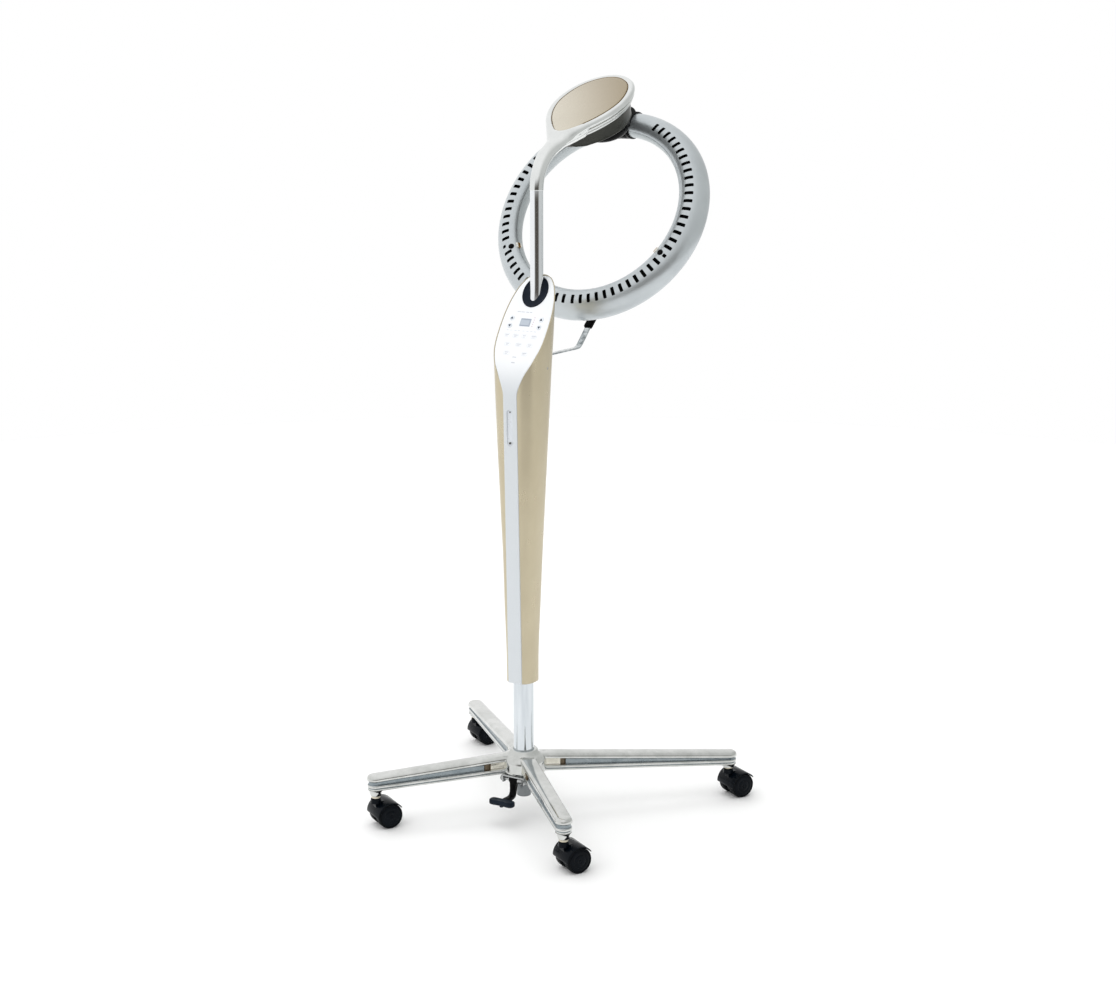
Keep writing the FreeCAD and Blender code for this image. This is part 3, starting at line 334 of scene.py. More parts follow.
# painted reflection: a dark olive line in the head rim's two grooves
RIM_GROOVE_REFLECTION = finish("rim_channel_painted_reflection", (118, 112, 92), (142, 136, 114), (0.2, 0.3), 0.9, 40.0, (1, 1, 1), 0.02, 600.0)
BLOCKM = finish("leg_root_cream", (204, 201, 188), (222, 219, 208), (0.15, 0.25), 0.9, 60.0, (1, 1, 1), 0.03, 500.0)
NOTCHM = finish("leg_notch_brown", (104, 92, 74), (132, 118, 98), (0.3, 0.45), 0.6, 60.0, (1, 1, 1), 0.05, 500.0)
CASTER = finish("caster_black", (4, 8, 13), (8, 14, 21), (0.16, 0.26), 0.0, 40.0, (1, 1, 1), 0.06, 900.0, coat=0.01, coat_rough=0.15, spec=0.08)
TREAD = finish("caster_tread", (6, 9, 12), (12, 15, 19), (0.45, 0.55), 0.0, 60.0, (1, 1, 1), 0.2, 1200.0, spec=0.08)
RUBBER = finish("black_rubber", (18, 26, 36), (26, 35, 47), (0.4, 0.5), 0.0, 40.0, (1, 1, 1), 0.08, 1200.0, spec=0.1)
# painted shade: near-black for the ring's insides, slot walls and reflector, so the slots read as dark holes
INSIDE_SHADE = finish("ring_inside_painted_shade", (9, 10, 12), (16, 17, 19), (0.6, 0.75), 0.0, 30.0, (1, 1, 1), 0.1, 900.0, spec=0.2)
COLLARM = finish("cream_nylon_collar", (206, 198, 176), (222, 215, 196), (0.36, 0.48), 0.0, 60.0, (1, 1, 1), 0.08, 900.0)
CUPM = finish("grey_steel_cup", (118, 122, 124), (138, 142, 144), (0.28, 0.4), 0.9, 20.0, (1, 1, 0.2), 0.03, 500.0)
STEEL = finish("zinc_steel", (168, 170, 170), (190, 192, 192), (0.22, 0.34), 1.0, 40.0, (1, 1, 1), 0.08, 700.0)
POSTM = finish("post_chrome", (200, 206, 211), (219, 224, 228), (0.07, 0.12), 1.0, 30.0, (3, 3, 0.25), 0.012, 160.0)
DARKST = finish("dark_steel", (56, 58, 60), (76, 78, 80), (0.35, 0.48), 0.9, 40.0, (1, 1, 1), 0.08, 700.0)
GREYP = finish("grey_plastic", (120, 124, 128), (140, 144, 148), (0.4, 0.5), 0.0, 30.0, (1, 1, 1), 0.08, 900.0)
NYLON = finish("white_nylon", (214, 214, 208), (228, 228, 222), (0.4, 0.5), 0.0, 30.0, (1, 1, 1), 0.06, 900.0)
PCB = finish("board_green", (22, 74, 48), (34, 96, 62), (0.3, 0.45), 0.0, 220.0, (1, 1, 1), 0.1, 900.0, coat=0.3)
LCDM = finish("lcd_face", (224, 232, 243), (232, 240, 249), (0.25, 0.33), 0.0, 90.0, (1, 1, 1), 0.02, 900.0)
LCDF = finish("lcd_frame", (146, 156, 172), (156, 166, 181), (0.3, 0.4), 0.0, 60.0, (1, 1, 1), 0.03, 900.0)
WINDOW = finish("lcd_window", (184, 193, 205), (190, 199, 210), (0.08, 0.14), 0.0, 20.0, (1, 1, 1), 0.0, 900.0, coat=0.4, coat_rough=0.04)
KEYM = finish("key_cap", (224, 230, 237), (232, 238, 243), (0.32, 0.42), 0.05, 60.0, (1, 1, 1), 0.03, 1200.0, coat=0.2)
INKD = finish("ink_dark", (44, 52, 70), (58, 66, 84), (0.45, 0.55), 0.0, 200.0, (1, 1, 1), 0.02, 900.0, spec=0.2)
INKL = finish("ink_faint", (196, 199, 208), (206, 209, 217), (0.42, 0.5), 0.0, 200.0, (1, 1, 1), 0.02, 900.0)
INKP = finish("ink_rose", (206, 176, 190), (216, 188, 200), (0.42, 0.5), 0.1, 200.0, (1, 1, 1), 0.02, 900.0)
LAMPM = finish("lamp_recess", (214, 219, 225), (222, 227, 232), (0.25, 0.35), 0.1, 40.0, (1, 1, 1), 0.03, 900.0, coat=0.3)
STUDM = finish("lamp_stud", (52, 46, 44), (70, 64, 60), (0.3, 0.4), 0.2, 60.0, (1, 1, 1), 0.05, 900.0, coat=0.3)
BRASS = finish("brass_contact", (150, 112, 60), (182, 142, 84), (0.25, 0.36), 1.0, 60.0, (1, 1, 1), 0.05, 900.0)
QUARTZ = finish("heater_quartz", (150, 140, 134), (172, 162, 154), (0.2, 0.3), 0.1, 60.0, (1, 1, 1), 0.04, 900.0)
COPPER = finish("motor_zinc", (128, 130, 132), (150, 152, 154), (0.3, 0.4), 0.9, 30.0, (1, 1, 1), 0.08, 600.0)
REDISH = finish("rocker_black", (18, 18, 20), (30, 30, 33), (0.22, 0.3), 0.0, 30.0, (1, 1, 1), 0.05, 900.0, coat=0.4)

# CAD parts that keep their own shape: inside the covers or fully hidden
# the reflector gets the near-black painted shade of the ring's inside
for node, mat in {"gas_spring_body": DARKST, "gas_spring_rod": CHROME, "guide_bushes": NYLON, "lift_crosshead": COPPER, "power_supply": GREYP,
                  "arm_socket": COPPER, "control_board": PCB, "lcd_module": LCDM, "head_bearings": STEEL, "gear_motor": COPPER,
                  "drive_shaft": STEEL, "reflector": INSIDE_SHADE, "heater_element": QUARTZ, "pedal_spring": STEEL, "pedal_bracket": STEEL}.items():
    me = NODES[node].data
    me.materials.clear()
    me.materials.append(mat)


# ------------------------------------------------------------------ column shape
def section_at(z):
    for (z0, a0, f0, g0), (z1, a1, f1, g1) in zip(SECTIONS, SECTIONS[1:]):
        if z <= z1:
            t = (z - z0) / (z1 - z0)
            return a0 + t * (a1 - a0), f0 + t * (f1 - f0), g0 + t * (g1 - g0)
    return SECTIONS[-1][1:]


def smooth_sections():
    """natural cubic splines through the section table, so that the sides have no kinks"""
    z = np.array([s[0] for s in SECTIONS], float)
    out = []
    n = len(z)
    for c in (1, 2, 3):
        y = np.array([s[c] for s in SECTIONS], float)
        hgt = np.diff(z)
        A = np.zeros((n, n))
        r = np.zeros(n)
        A[0, 0] = A[-1, -1] = 1.0
        for i in range(1, n - 1):
            A[i, i - 1], A[i, i], A[i, i + 1] = hgt[i - 1], 2 * (hgt[i - 1] + hgt[i]), hgt[i]
            r[i] = 6 * ((y[i + 1] - y[i]) / hgt[i] - (y[i] - y[i - 1]) / hgt[i - 1])
        out.append((y, np.linalg.solve(A, r)))
    return z, out


SZ, SC = smooth_sections()


def sec(z, off=0.0):
    z = min(max(z, SZ[0]), SZ[-1])
    i = int(min(max(np.searchsorted(SZ, z) - 1, 0), len(SZ) - 2))
    h = SZ[i + 1] - SZ[i]
    a, b = (SZ[i + 1] - z) / h, (z - SZ[i]) / h
    res = []
    for y, m in SC:
        res.append(a * y[i] + b * y[i + 1] + ((a ** 3 - a) * m[i] + (b ** 3 - b) * m[i + 1]) * h * h / 6 - off)
    return res


def half_x(z, y, off=0.0):
    a, f, g = sec(z, off)
    q = abs(y) / (g if y > 0 else f)
    return 0.0 if q >= 1 else a * (1 - q ** SN) ** (1 / SN)


def sec_y(z, x, off=0.0, rear=False):
    a, f, g = sec(z, off)
    q = min(abs(x) / a, 1.0)
    return (g if rear else -f) * (1 - q ** SN) ** (1 / SN)


KS = 0.02354
kt = math.tan(PANEL_T)
zc = (-32.9 + KS * 316.0 - 49.2 + kt * 1030.0) / (kt + KS)
yc = -32.9 - KS * (zc - 316.0)
BEND = 130.0
UP = Vector((0, st, ct))
DN = Vector((0, KS, -1)).normalized()
NP = Vector((0, -ct, st))
NS = Vector((0, -1, -KS)).normalized()
TURN = math.acos(-UP.dot(DN))
TL = BEND * math.tan(TURN / 2)
CORNER = Vector((0, yc, zc))
T1 = CORNER + UP * TL
T2 = CORNER + DN * TL
BC = T1 - NP * BEND
ARC = BEND * TURN
S1 = (T1.z - 1030.0) / ct           # panel coordinate of the bend's upper end


def fasc(s, x, h):
    """point on the fascia: s along the profile in panel coordinates, x across, h outwards"""
    if s >= S1:
        p = Vector((0, 49.2, 1030.0)) + UP * s
        n = NP
    elif s >= S1 - ARC:
        a = (S1 - s) / BEND
        n = (NP * math.cos(a) + (-UP) * math.sin(a)).normalized()
        p = BC + n * BEND
        n = n
    else:
        p = T2 + DN * (S1 - ARC - s)
        n = NS
    return Vector((x, 0, 0)) + p + n * h


def s_of_z(z):
    if z >= T1.z:
        return (z - 1030.0) / ct
    if z <= T2.z:
        return S1 - ARC - (T2.z - z) / (-DN.z)
    lo, hi = S1 - ARC, S1
    for _ in range(40):
        mid = (lo + hi) / 2
        if fasc(mid, 0, 0).z < z:
            lo = mid
        else:
            hi = mid
    return (lo + hi) / 2


def face_y(z):
    return fasc(s_of_z(z), 0, 0).y


def catmull(pts, per=6, closed=False):
    """centripetal Catmull-Rom through 2-D points"""
    n = len(pts)
    out = []
    rng = range(n) if closed else range(n - 1)
    for i in rng:
        if closed:
            p = [pts[(i + k) % n] for k in (-1, 0, 1, 2)]
        else:
            p = [pts[max(i - 1, 0)], pts[i], pts[i + 1], pts[min(i + 2, n - 1)]]
            if i == 0:
                p[0] = tuple(2 * a - b for a, b in zip(p[1], p[2]))
            if i == n - 2:
                p[3] = tuple(2 * a - b for a, b in zip(p[2], p[1]))
        t = [0.0]
        for a, b in zip(p, p[1:]):
            t.append(t[-1] + max(math.dist(a, b), 1e-6) ** 0.5)
        for k in range(per):
            u = t[1] + (t[2] - t[1]) * k / per
            q = []
            for c in range(len(p[0])):
                A1 = (t[1] - u) / (t[1] - t[0]) * p[0][c] + (u - t[0]) / (t[1] - t[0]) * p[1][c]
                A2 = (t[2] - u) / (t[2] - t[1]) * p[1][c] + (u - t[1]) / (t[2] - t[1]) * p[2][c]
                A3 = (t[3] - u) / (t[3] - t[2]) * p[2][c] + (u - t[2]) / (t[3] - t[2]) * p[3][c]
                B1 = (t[2] - u) / (t[2] - t[0]) * A1 + (u - t[0]) / (t[2] - t[0]) * A2
                B2 = (t[3] - u) / (t[3] - t[1]) * A2 + (u - t[1]) / (t[3] - t[1]) * A3
                q.append((t[2] - u) / (t[2] - t[1]) * B1 + (u - t[1]) / (t[2] - t[1]) * B2)
            out.append(tuple(q))
    if not closed:
        out.append(tuple(pts[-1]))
    return out


# outline of the leaf: (half width, height), bottom to top
edge = [(15.0, 836.0), (15.0, 843.0), (15.9, 851.0), (18.6, 860.0), (23.6, 872.0), (29.6, 885.0), (36.2, 897.0), (40.2, 905.0)]
for z in (916.0, 928.0, 942.0, 958.0, 975.0, 992.0, 1008.0, 1022.0, 1034.0, 1044.0, 1052.0, 1056.5):
    edge.append((half_x(z, face_y(z)) - 1.7, z))
edge += [(0.0, 1059.6), (-edge[-1][0], 1056.5)]
dense = [p for p in catmull(edge, 5) if p[0] > -1e-6 and p[1] > 836.1]
k0 = max(i for i, p in enumerate(dense) if p[0] > 0.05)
dense = dense[:k0 + 1]
EDGE = [(15.0, z) for z in (278.0, 300, 340, 380, 420, 460, 500, 540, 580, 620, 660, 700, 730, 745, 750, 760, 775, 790, 805, 815, 825, 836)] + dense
EDGE = [(w, s_of_z(z)) for w, z in EDGE]


def leaf_w(z):
    """half width of the fascia at height z"""
    s = s_of_z(z)
    for (w0, s0), (w1, s1) in zip(EDGE, EDGE[1:]):
        if s0 <= s <= s1:
            return w0 + (w1 - w0) * (s - s0) / max(s1 - s0, 1e-9)
    return 15.0 if s < EDGE[0][1] else 0.0


def plate_geo(edge_pts, levels, K=14, mi_edge=0, gap=0.0):
    """closed slab over the fascia outline; levels are (inset, height) from the front crown to the back"""
    n = len(edge_pts)
    nrm = []
    for i in range(n):
        w0, s0 = edge_pts[max(i - 1, 0)]
        w1, s1 = edge_pts[min(i + 1, n - 1)]
        dx, ds = w1 - w0, s1 - s0
        if i == n - 1:
            dx, ds = -1.0, 0.12
        q = math.hypot(dx, ds)
        nrm.append((ds / q, -dx / q))

    def loop(inset, h):
        right = []
        for i, (w, s) in enumerate(edge_pts):
            ds = s if i > 0 else s + inset
            right.append((max(w - nrm[i][0] * inset, 0.02), ds - (nrm[i][1] * inset if i > 0 else 0.0)))
        return right
    g = Geo()

    def full(inset, h):
        r = loop(inset, h)
        pts = [fasc(s, x, h) for x, s in r] + [fasc(s, -x, h) for x, s in reversed(r)]
        return pts
    rings = [full(i, h) for i, h in levels]
    g.loft(rings, None, 0, closed=True)
    for (inset, h), top in ((levels[0], True), (levels[-1], False)):
        r = loop(inset, h)
        rows = []
        for x, s in r:
            rows.append([fasc(s, x * (1 - 2 * k / K), h) for k in range(K + 1)])
        g.loft(rows, None, 0, closed=False)
    return g


fascia_geo = plate_geo(EDGE, [(1.3, 0.0), (0.75, -0.12), (0.3, -0.42), (0.06, -0.9), (0.0, -1.4), (0.0, -3.0)])
fascia = make("front_fascia_skin", fascia_geo, [FASCIA], "column", ["front_fascia"], sharp=40)

KEYS = {"key_up_l": (-32.0, -58.5), "key_down_l": (-32.0, -74.5), "key_up_r": (32.0, -58.5), "key_down_r": (32.0, -74.5)}
LCD = (-0.2, -66.0, 11.5, 8.3)


def cut(target, geos):
    """exact booleans on a closed piece, applied"""
    for g in geos:
        me = bpy.data.meshes.new("cutter")
        me.from_pydata([tuple(c * 0.001 for c in v) for v in g.v], [], g.f)
        bm = bmesh.new()
        bm.from_mesh(me)
        bmesh.ops.remove_doubles(bm, verts=bm.verts, dist=2e-6)
        bmesh.ops.recalc_face_normals(bm, faces=bm.faces)
        if bm.calc_volume(signed=True) < 0:
            bmesh.ops.reverse_faces(bm, faces=bm.faces)
        bm.to_mesh(me)
        bm.free()
        c = bpy.data.objects.new("cutter", me)
        bpy.context.scene.collection.objects.link(c)
        mod = target.modifiers.new("cut", "BOOLEAN")
        mod.operation = "DIFFERENCE"
        mod.solver = "EXACT"
        mod.object = c
        bpy.context.view_layer.update()
        dg = bpy.context.evaluated_depsgraph_get()
        new = bpy.data.meshes.new_from_object(target.evaluated_get(dg))
        target.modifiers.clear()
        old = target.data
        target.data = new
        bpy.data.meshes.remove(old)
        bpy.data.objects.remove(c)
        bpy.data.meshes.remove(me)
    bm = bmesh.new()
    bm.from_mesh(target.data)
    bmesh.ops.remove_doubles(bm, verts=bm.verts, dist=5e-6)
    for f in bm.faces:
        f.smooth = True
    for e in bm.edges:
        e.smooth = len(e.link_faces) == 2 and e.calc_face_angle(0.0) < math.radians(34)
    bm.to_mesh(target.data)
    bm.free()


cutters = []
for x, s in KEYS.values():
    g = Geo()
    g.revolve([(0, -9), (4.9, -9), (4.9, -0.25), (5.15, 0.0), (5.15, 3), (0, 3)], PANEL @ Matrix.Translation((x, s, 0)), 40)
    cutters.append(g)
g = Geo()
g.loft([[(px + LCD[0], py + LCD[1], z) for px, py in rrect(LCD[2], LCD[3], 1.0)] for z in (-9.0, 4.0)], PANEL, 0, caps=(True, True))
cutters.append(g)
g = Geo()
oval = lambda a, b, s0, h, n=72: [(a * math.cos(2 * PI * i / n), s0 + b * math.sin(2 * PI * i / n), h) for i in range(n)]
g.loft([oval(25.4, 31.4, -1.0, -12), oval(25.4, 31.4, -1.0, 18)], PANEL, 0, caps=(True, True))
cutters.append(g)


def capsule(r, z0, z1, cx=-1.0, n=14):
    pts = []
    for i in range(n + 1):
        a = PI * i / n
        pts.append((cx + r * math.cos(a), z1 + r * math.sin(a)))
    for i in range(n + 1):
        a = PI + PI * i / n
        pts.append((cx + r * math.cos(a), z0 + r * math.sin(a)))
    return pts


LY = -32.9 - KS * (754.0 - 316.0)
g = Geo()
g.loft([[(x, y, z) for x, z in capsule(r, 754.0, 811.0)] for r, y in ((6.5, -60.0), (6.5, LY - 0.1), (6.0, LY + 0.45), (6.0, LY + 1.6))], None, 0, caps=(True, True))
cutters.append(g)
cut(fascia, cutters)
# nothing of a cutter may stay in front of the panel's plane
bm = bmesh.new()
bm.from_mesh(fascia.data)
bmesh.ops.delete(bm, geom=[v for v in bm.verts if (v.co * 1000.0 - Vector((0, 49.2, 1030.0))).dot(NP) > 0.5], context="VERTS")
bm.to_mesh(fascia.data)
bm.free()

# lamp: shallow floor of the recess with its stud
g = Geo()
rings = []
for r, y in ((5.9, LY + 2.6), (5.9, LY + 1.0), (5.6, LY + 0.8), (5.0, LY + 1.15), (0.01, LY + 1.25)):
    rings.append([(x, y, z) for x, z in capsule(r, 754.0, 811.0)])
g.loft(rings, None, 0, caps=(True, True))
make("status_lamp_lens", g, [LAMPM], "column", [], sharp=50)
g = Geo()
g.revolve([(0, 1.7), (2.1, 1.7), (2.1, -0.6), (1.7, -1.1), (0.8, -1.4), (0, -1.45)], basis((-1.0, LY, 753.6), (1, 0, 0), (0, 0, 1), (0, 1, 0)), 32)
g.revolve([(0, 1.5), (1.3, 1.5), (1.3, 0.4), (0.9, 0.1), (0, 0.0)], basis((-1.0, LY, 812.6), (1, 0, 0), (0, 0, 1), (0, 1, 0)), 24)
make("status_lamp_studs", g, [STUDM], "column", ["status_lamp"], sharp=50)

# grommet: oval dished rubber round the arm tube
def tube_oval(h, r, n=72):
    """where a vertical cylinder round the arm's axis meets the plane at height h above the panel"""
    pts = []
    for i in range(n):
        a = 2 * PI * i / n
        x, dy = r * math.cos(a), r * math.sin(a)
        pts.append((x, (53.5 + dy - 49.2 + h * ct) / st, h))
    return pts


g = Geo()
outer_o, inner_o = oval(24.6, 30.7, -1.0, 0.0), tube_oval(0.0, 12.56)
rings = [oval(27.0, 33.0, -1.0, 0.02), oval(27.0, 33.0, -1.0, 0.5), oval(26.6, 32.6, -1.0, 1.1), oval(26.0, 32.0, -1.0, 1.35), oval(25.3, 31.3, -1.0, 1.25)]
for k, h in ((0.0, 0.75), (0.1, 0.25), (0.25, -0.15), (0.5, -0.35), (0.75, -0.3), (0.9, 0.0), (0.97, 0.35), (1.0, 0.4)):
    tube_h = tube_oval(h, 12.56)
    rings.append([(lerp(o[0], t[0], k), lerp(o[1], t[1], k), h) for o, t in zip(outer_o, tube_h)])
rings += [tube_oval(-0.4, 12.54), tube_oval(-9.0, 12.54), oval(18.5, 24.0, -3.0, -9.5), oval(23.0, 26.0, -3.0, -4.0),
          oval(25.3, 31.3, -1.0, -3.1), oval(25.3, 31.3, -1.0, 0.02)]
g.loft(rings, PANEL, 0, wrap=True)
make("grommet_oval", g, [RUBBER], "column", ["grommet"], sharp=60)

# arm tube with the bend inside the column
g = Geo()
rings = []


def circ(y, z, lean, r, n=56):
    out = []
    for i in range(n):
        a = 2 * PI * i / n
        x, q = r * math.cos(a), r * math.sin(a)
        out.append((x, y + q * math.cos(lean), z - q * math.sin(lean)))
    return out


for z in (1219.5, 1218.0, 1190, 1150, 1120, 1090, 1060, 1045):
    rings.append(circ(53.5, z, 0.0, 12.5 if z < 1219 else 12.1))
for i in range(1, 9):
    a = math.radians(20.0) * i / 8
    rings.append(circ(53.5 - 150 + 150 * math.cos(a), 1045 - 150 * math.sin(a), -a, 12.5))
a = math.radians(20.0)
rings.append(circ(53.5 - 150 + 150 * math.cos(a) - 40 * math.sin(a), 1045 - 150 * math.sin(a) - 40 * math.cos(a), -a, 12.5))
g.loft(rings, None, 0, caps=(True, True))
make("arm_tube_chrome", g, [CHROME], "column", ["arm_tube"], sharp=50)

# display window and keys
g = Geo()
g.loft([[(px + LCD[0], py + LCD[1], z) for px, py in rrect(LCD[2] - 0.12 - i, LCD[3] - 0.12 - i, 0.9)] for z, i in ((-1.4, 0), (-0.15, 0), (0.05, 0.2))],
       PANEL, 0, caps=(True, True))
make("display_window_glass", g, [WINDOW], "column", ["display_window"], sharp=30)
g = Geo()
for a, b, z0, z1, cx in ((10.6, 1.3, -1.38, -1.30, 0.0),):
    g.loft([[(px + LCD[0], py + LCD[1] + 6.6, z) for px, py in rrect(10.4, 1.0, 0.6)] for z in (0.03, 0.09)], PANEL, 0, caps=(True, True))
    g.loft([[(px + LCD[0], py + LCD[1] - 6.6, z) for px, py in rrect(10.4, 1.0, 0.6)] for z in (0.03, 0.09)], PANEL, 0, caps=(True, True))
    g.loft([[(px + LCD[0] + 9.6, py + LCD[1], z) for px, py in rrect(0.9, 5.2, 0.6)] for z in (0.03, 0.09)], PANEL, 0, caps=(True, True))
make("display_frame_print", g, [LCDF], "column", [], sharp=30)
for key, (x, s) in KEYS.items():
    g = Geo()
    M = PANEL @ Matrix.Translation((x, s, 0))
    prof = [(0.0, -5.6), (2.2, -5.6), (2.2, -2.3), (4.72, -2.3), (4.72, 0.1), (4.6, 0.3), (4.3, 0.42), (3.6, 0.5), (1.6, 0.56), (0.0, 0.56)]
    g.revolve(prof, M, 40, 0)
    up = 1 if "up" in key else -1
    tri = [(-2.9, -1.9 * up), (2.9, -1.9 * up), (0.5, 2.3 * up), (-0.5, 2.3 * up)]
    tri = [(x0, y0) for x0, y0 in (tri if up > 0 else tri[::-1])]
    g.prism(tri, 0.5, 0.72, M, 1)
    make(key + "_cap", g, [KEYM, INKD], key, [key], sharp=35)

# printed function keys: thin raised outlines and symbols on the membrane
g = Geo()


def ribbon(pts, s0, x0, h0=-0.05, h1=0.07, mi=0):
    n = len(pts)
    a = g.verts([fasc(s0 + y, x0 + x, h0) for x, y in pts])
    b = g.verts([fasc(s0 + y, x0 + x, h1) for x, y in pts])
    for j in range(n):
        k = (j + 1) % n
        g.face((a + j, a + k, b + k, b + j), mi)
    g.face([a + j for j in range(n)][::-1], mi)
    g.face([b + j for j in range(n)], mi)


def ring_mark(w, h, t, s0, x0, mi=0):
    outer = rrect(w, h, min(w, h) * 0.98, 7)
    inner = rrect(w - t, h - t, min(w - t, h - t) * 0.98, 7)
    n = len(outer)
    A = g.verts([fasc(s0 + y, x0 + x, -0.05) for x, y in outer])
    B = g.verts([fasc(s0 + y, x0 + x, 0.07) for x, y in outer])
    C = g.verts([fasc(s0 + y, x0 + x, 0.07) for x, y in inner])
    D = g.verts([fasc(s0 + y, x0 + x, -0.05) for x, y in inner])
    for j in range(n):
        k = (j + 1) % n
        for p, q in ((A, B), (B, C), (C, D), (D, A)):
            g.face((p + j, p + k, q + k, q + j), mi)


for s0, xs in ((-95.0, (-31.0, -12.0, 7.0, 28.0)), (-113.0, (-24.0, 0.6, 24.5)), (-131.0, (-20.0, 19.0)), (-140.0, (0.0,)), (-151.0, (0.0,))):
    for i, x0 in enumerate(xs):
        w1 = (4.4, 3.4, 4.8, 3.9)[(i + int(-s0)) % 4]
        ribbon(rrect(w1, 0.8, 0.5, 3), s0 + 1.4, x0)
        if s0 > -135:
            ribbon(rrect(w1 * 0.7, 0.55, 0.4, 3), s0 - 1.6, x0 - 0.6)
            ring_mark(6.6, 4.2, 0.3, s0, x0)
for x0 in (-33.0, -25.5, -16.0, -8.0, 2.0, 10.5, 19.0, 27.0):
    ribbon(rrect(2.4, 0.4, 0.3, 3), -84.0, x0)
for x0, w1 in ((-21.0, 3.6), (-12.0, 4.0), (-2.5, 3.4), (5.0, 2.6)):
    ribbon(rrect(w1, 0.7, 0.5, 3), -44.6, x0)
for q in range(5):
    ribbon(rrect(1.1, 0.9, 0.6, 4), -55.0 - 4.6 * q, 17.3 - 0.2 * q, mi=1)
make("panel_print", g, [INKL, INKP], "column", [], sharp=30, flip=True)

# ------------------------------------------------------------------ covers
WALL = 2.2
SEAM = 13.0


def phi_of_y(z, y, off=0.0):
    """section parameter (0 at the back centre, pi at the front centre) of a given y"""
    a, f, g_ = sec(z, off)
    q = min(abs(y) / (g_ if y > 0 else f), 1.0)
    c = q ** (SN / 2)
    return math.acos(c) if y > 0 else PI - math.acos(c)


def phi_of_x(z, x, off=0.0):
    a, f, g_ = sec(z, off)
    return PI - math.asin(min(x / a, 1.0) ** (SN / 2))


def sec_pt(z, phi, off=0.0):
    a, f, g_ = sec(z, off)
    c, s = math.cos(phi), math.sin(phi)
    return Vector((a * abs(s) ** (2 / SN), math.copysign((g_ if c > 0 else f) * abs(c) ** (2 / SN), c), z))


def arc_pts(z, p0, p1, n, off=0.0):
    """points along the section from parameter p0 to p1, evenly spaced by length"""
    m = 60
    raw = [sec_pt(z, p0 + (p1 - p0) * i / m, off) for i in range(m + 1)]
    d = [0.0]
    for a, b in zip(raw, raw[1:]):
        d.append(d[-1] + (b - a).length)
    out = []
    j = 0
    for i in range(n + 1):
        t = d[-1] * i / n
        while j < m - 1 and d[j + 1] < t:
            j += 1
        u = 0.0 if d[j + 1] == d[j] else (t - d[j]) / (d[j + 1] - d[j])
        out.append(raw[j].lerp(raw[j + 1], u))
    return out


# front cover: two cheeks joined below by a web behind the strip
YF = SEAM - 0.12


def cheek(z):
    """right-hand half of a level: outside from the seam to the front edge, and inside back again"""
    trim_b = 0.5 if z < 278.1 else 0.15 if z < 279 else 0.0
    w = leaf_w(z) + 0.15
    fy = face_y(z)
    if z <= 905.0:
        pe = phi_of_x(z, w, trim_b)
        if sec_y(z, w, trim_b) < fy:
            pe = phi_of_y(z, fy, trim_b)
    else:
        pe = phi_of_y(z, min(fy, YF - 0.55), trim_b)
    outer = arc_pts(z, phi_of_y(z, YF - 0.5, trim_b), pe, 22, trim_b)
    start = sec_pt(z, phi_of_y(z, YF, trim_b), trim_b + 0.45)
    e = outer[-1]
    if z <= 905.0:
        rim = Vector((w, max(e.y + 0.4, fy), z))
        deep = Vector((w, fy + 3.1 / (ct if z > T1.z else 1.0), z))
    else:
        rim = Vector((min(w, e.x - 0.3), e.y, z))
        deep = Vector((rim.x, min(e.y + 3.5, YF - 0.02), z))
    inner = arc_pts(z, pe, phi_of_y(z, YF, WALL), 14, WALL)
    return [start] + outer + [rim, deep], inner, fy


rings = []
for z in [278.0, 278.6, 279.6, 300, 330, 360, 390, 420, 450, 480, 510, 540, 570, 600, 630, 660, 690, 720, 750, 780, 805, 825, 838, 843, 848, 853, 858,
          863, 868, 873, 878, 883, 888, 893, 898, 903, 905]:
    right, inner, fy = cheek(z)
    web_y = fy + 3.1
    inner = [Vector((p.x, max(p.y, web_y + 2.0), z)) for p in inner]
    mid_f, mid_b = Vector((0, web_y, z)), Vector((0, web_y + 2.0, z))
    rings.append(right + [mid_f] + [Vector((-p.x, p.y, z)) for p in reversed(right)] +
                 [Vector((-p.x, p.y, z)) for p in reversed(inner)] + [mid_b] + inner)
g = Geo()
g.loft(rings, None, 0, caps=(True, True))
for sx in (1, -1):
    rings = []
    for z in [905.0, 908, 914, 922, 930, 938, 946, 954, 961, 967, 971.5, 974.5, 975.6]:
        zz = 905.001 if z == 905.0 else z
        right, inner, fy = cheek(zz)
        y_min = right[-1].y
        inner = [Vector((min(p.x, right[-1].x) if p.y < y_min else p.x, max(p.y, y_min), z)) for p in inner]
        rings.append([Vector((sx * p.x, p.y, z)) for p in right + inner])
    g.loft(rings, None, 0, caps=(True, True))
cover_f = make("column_cover_shell", g, [CHAMP], "column", ["column_cover"], sharp=38, weld=False)

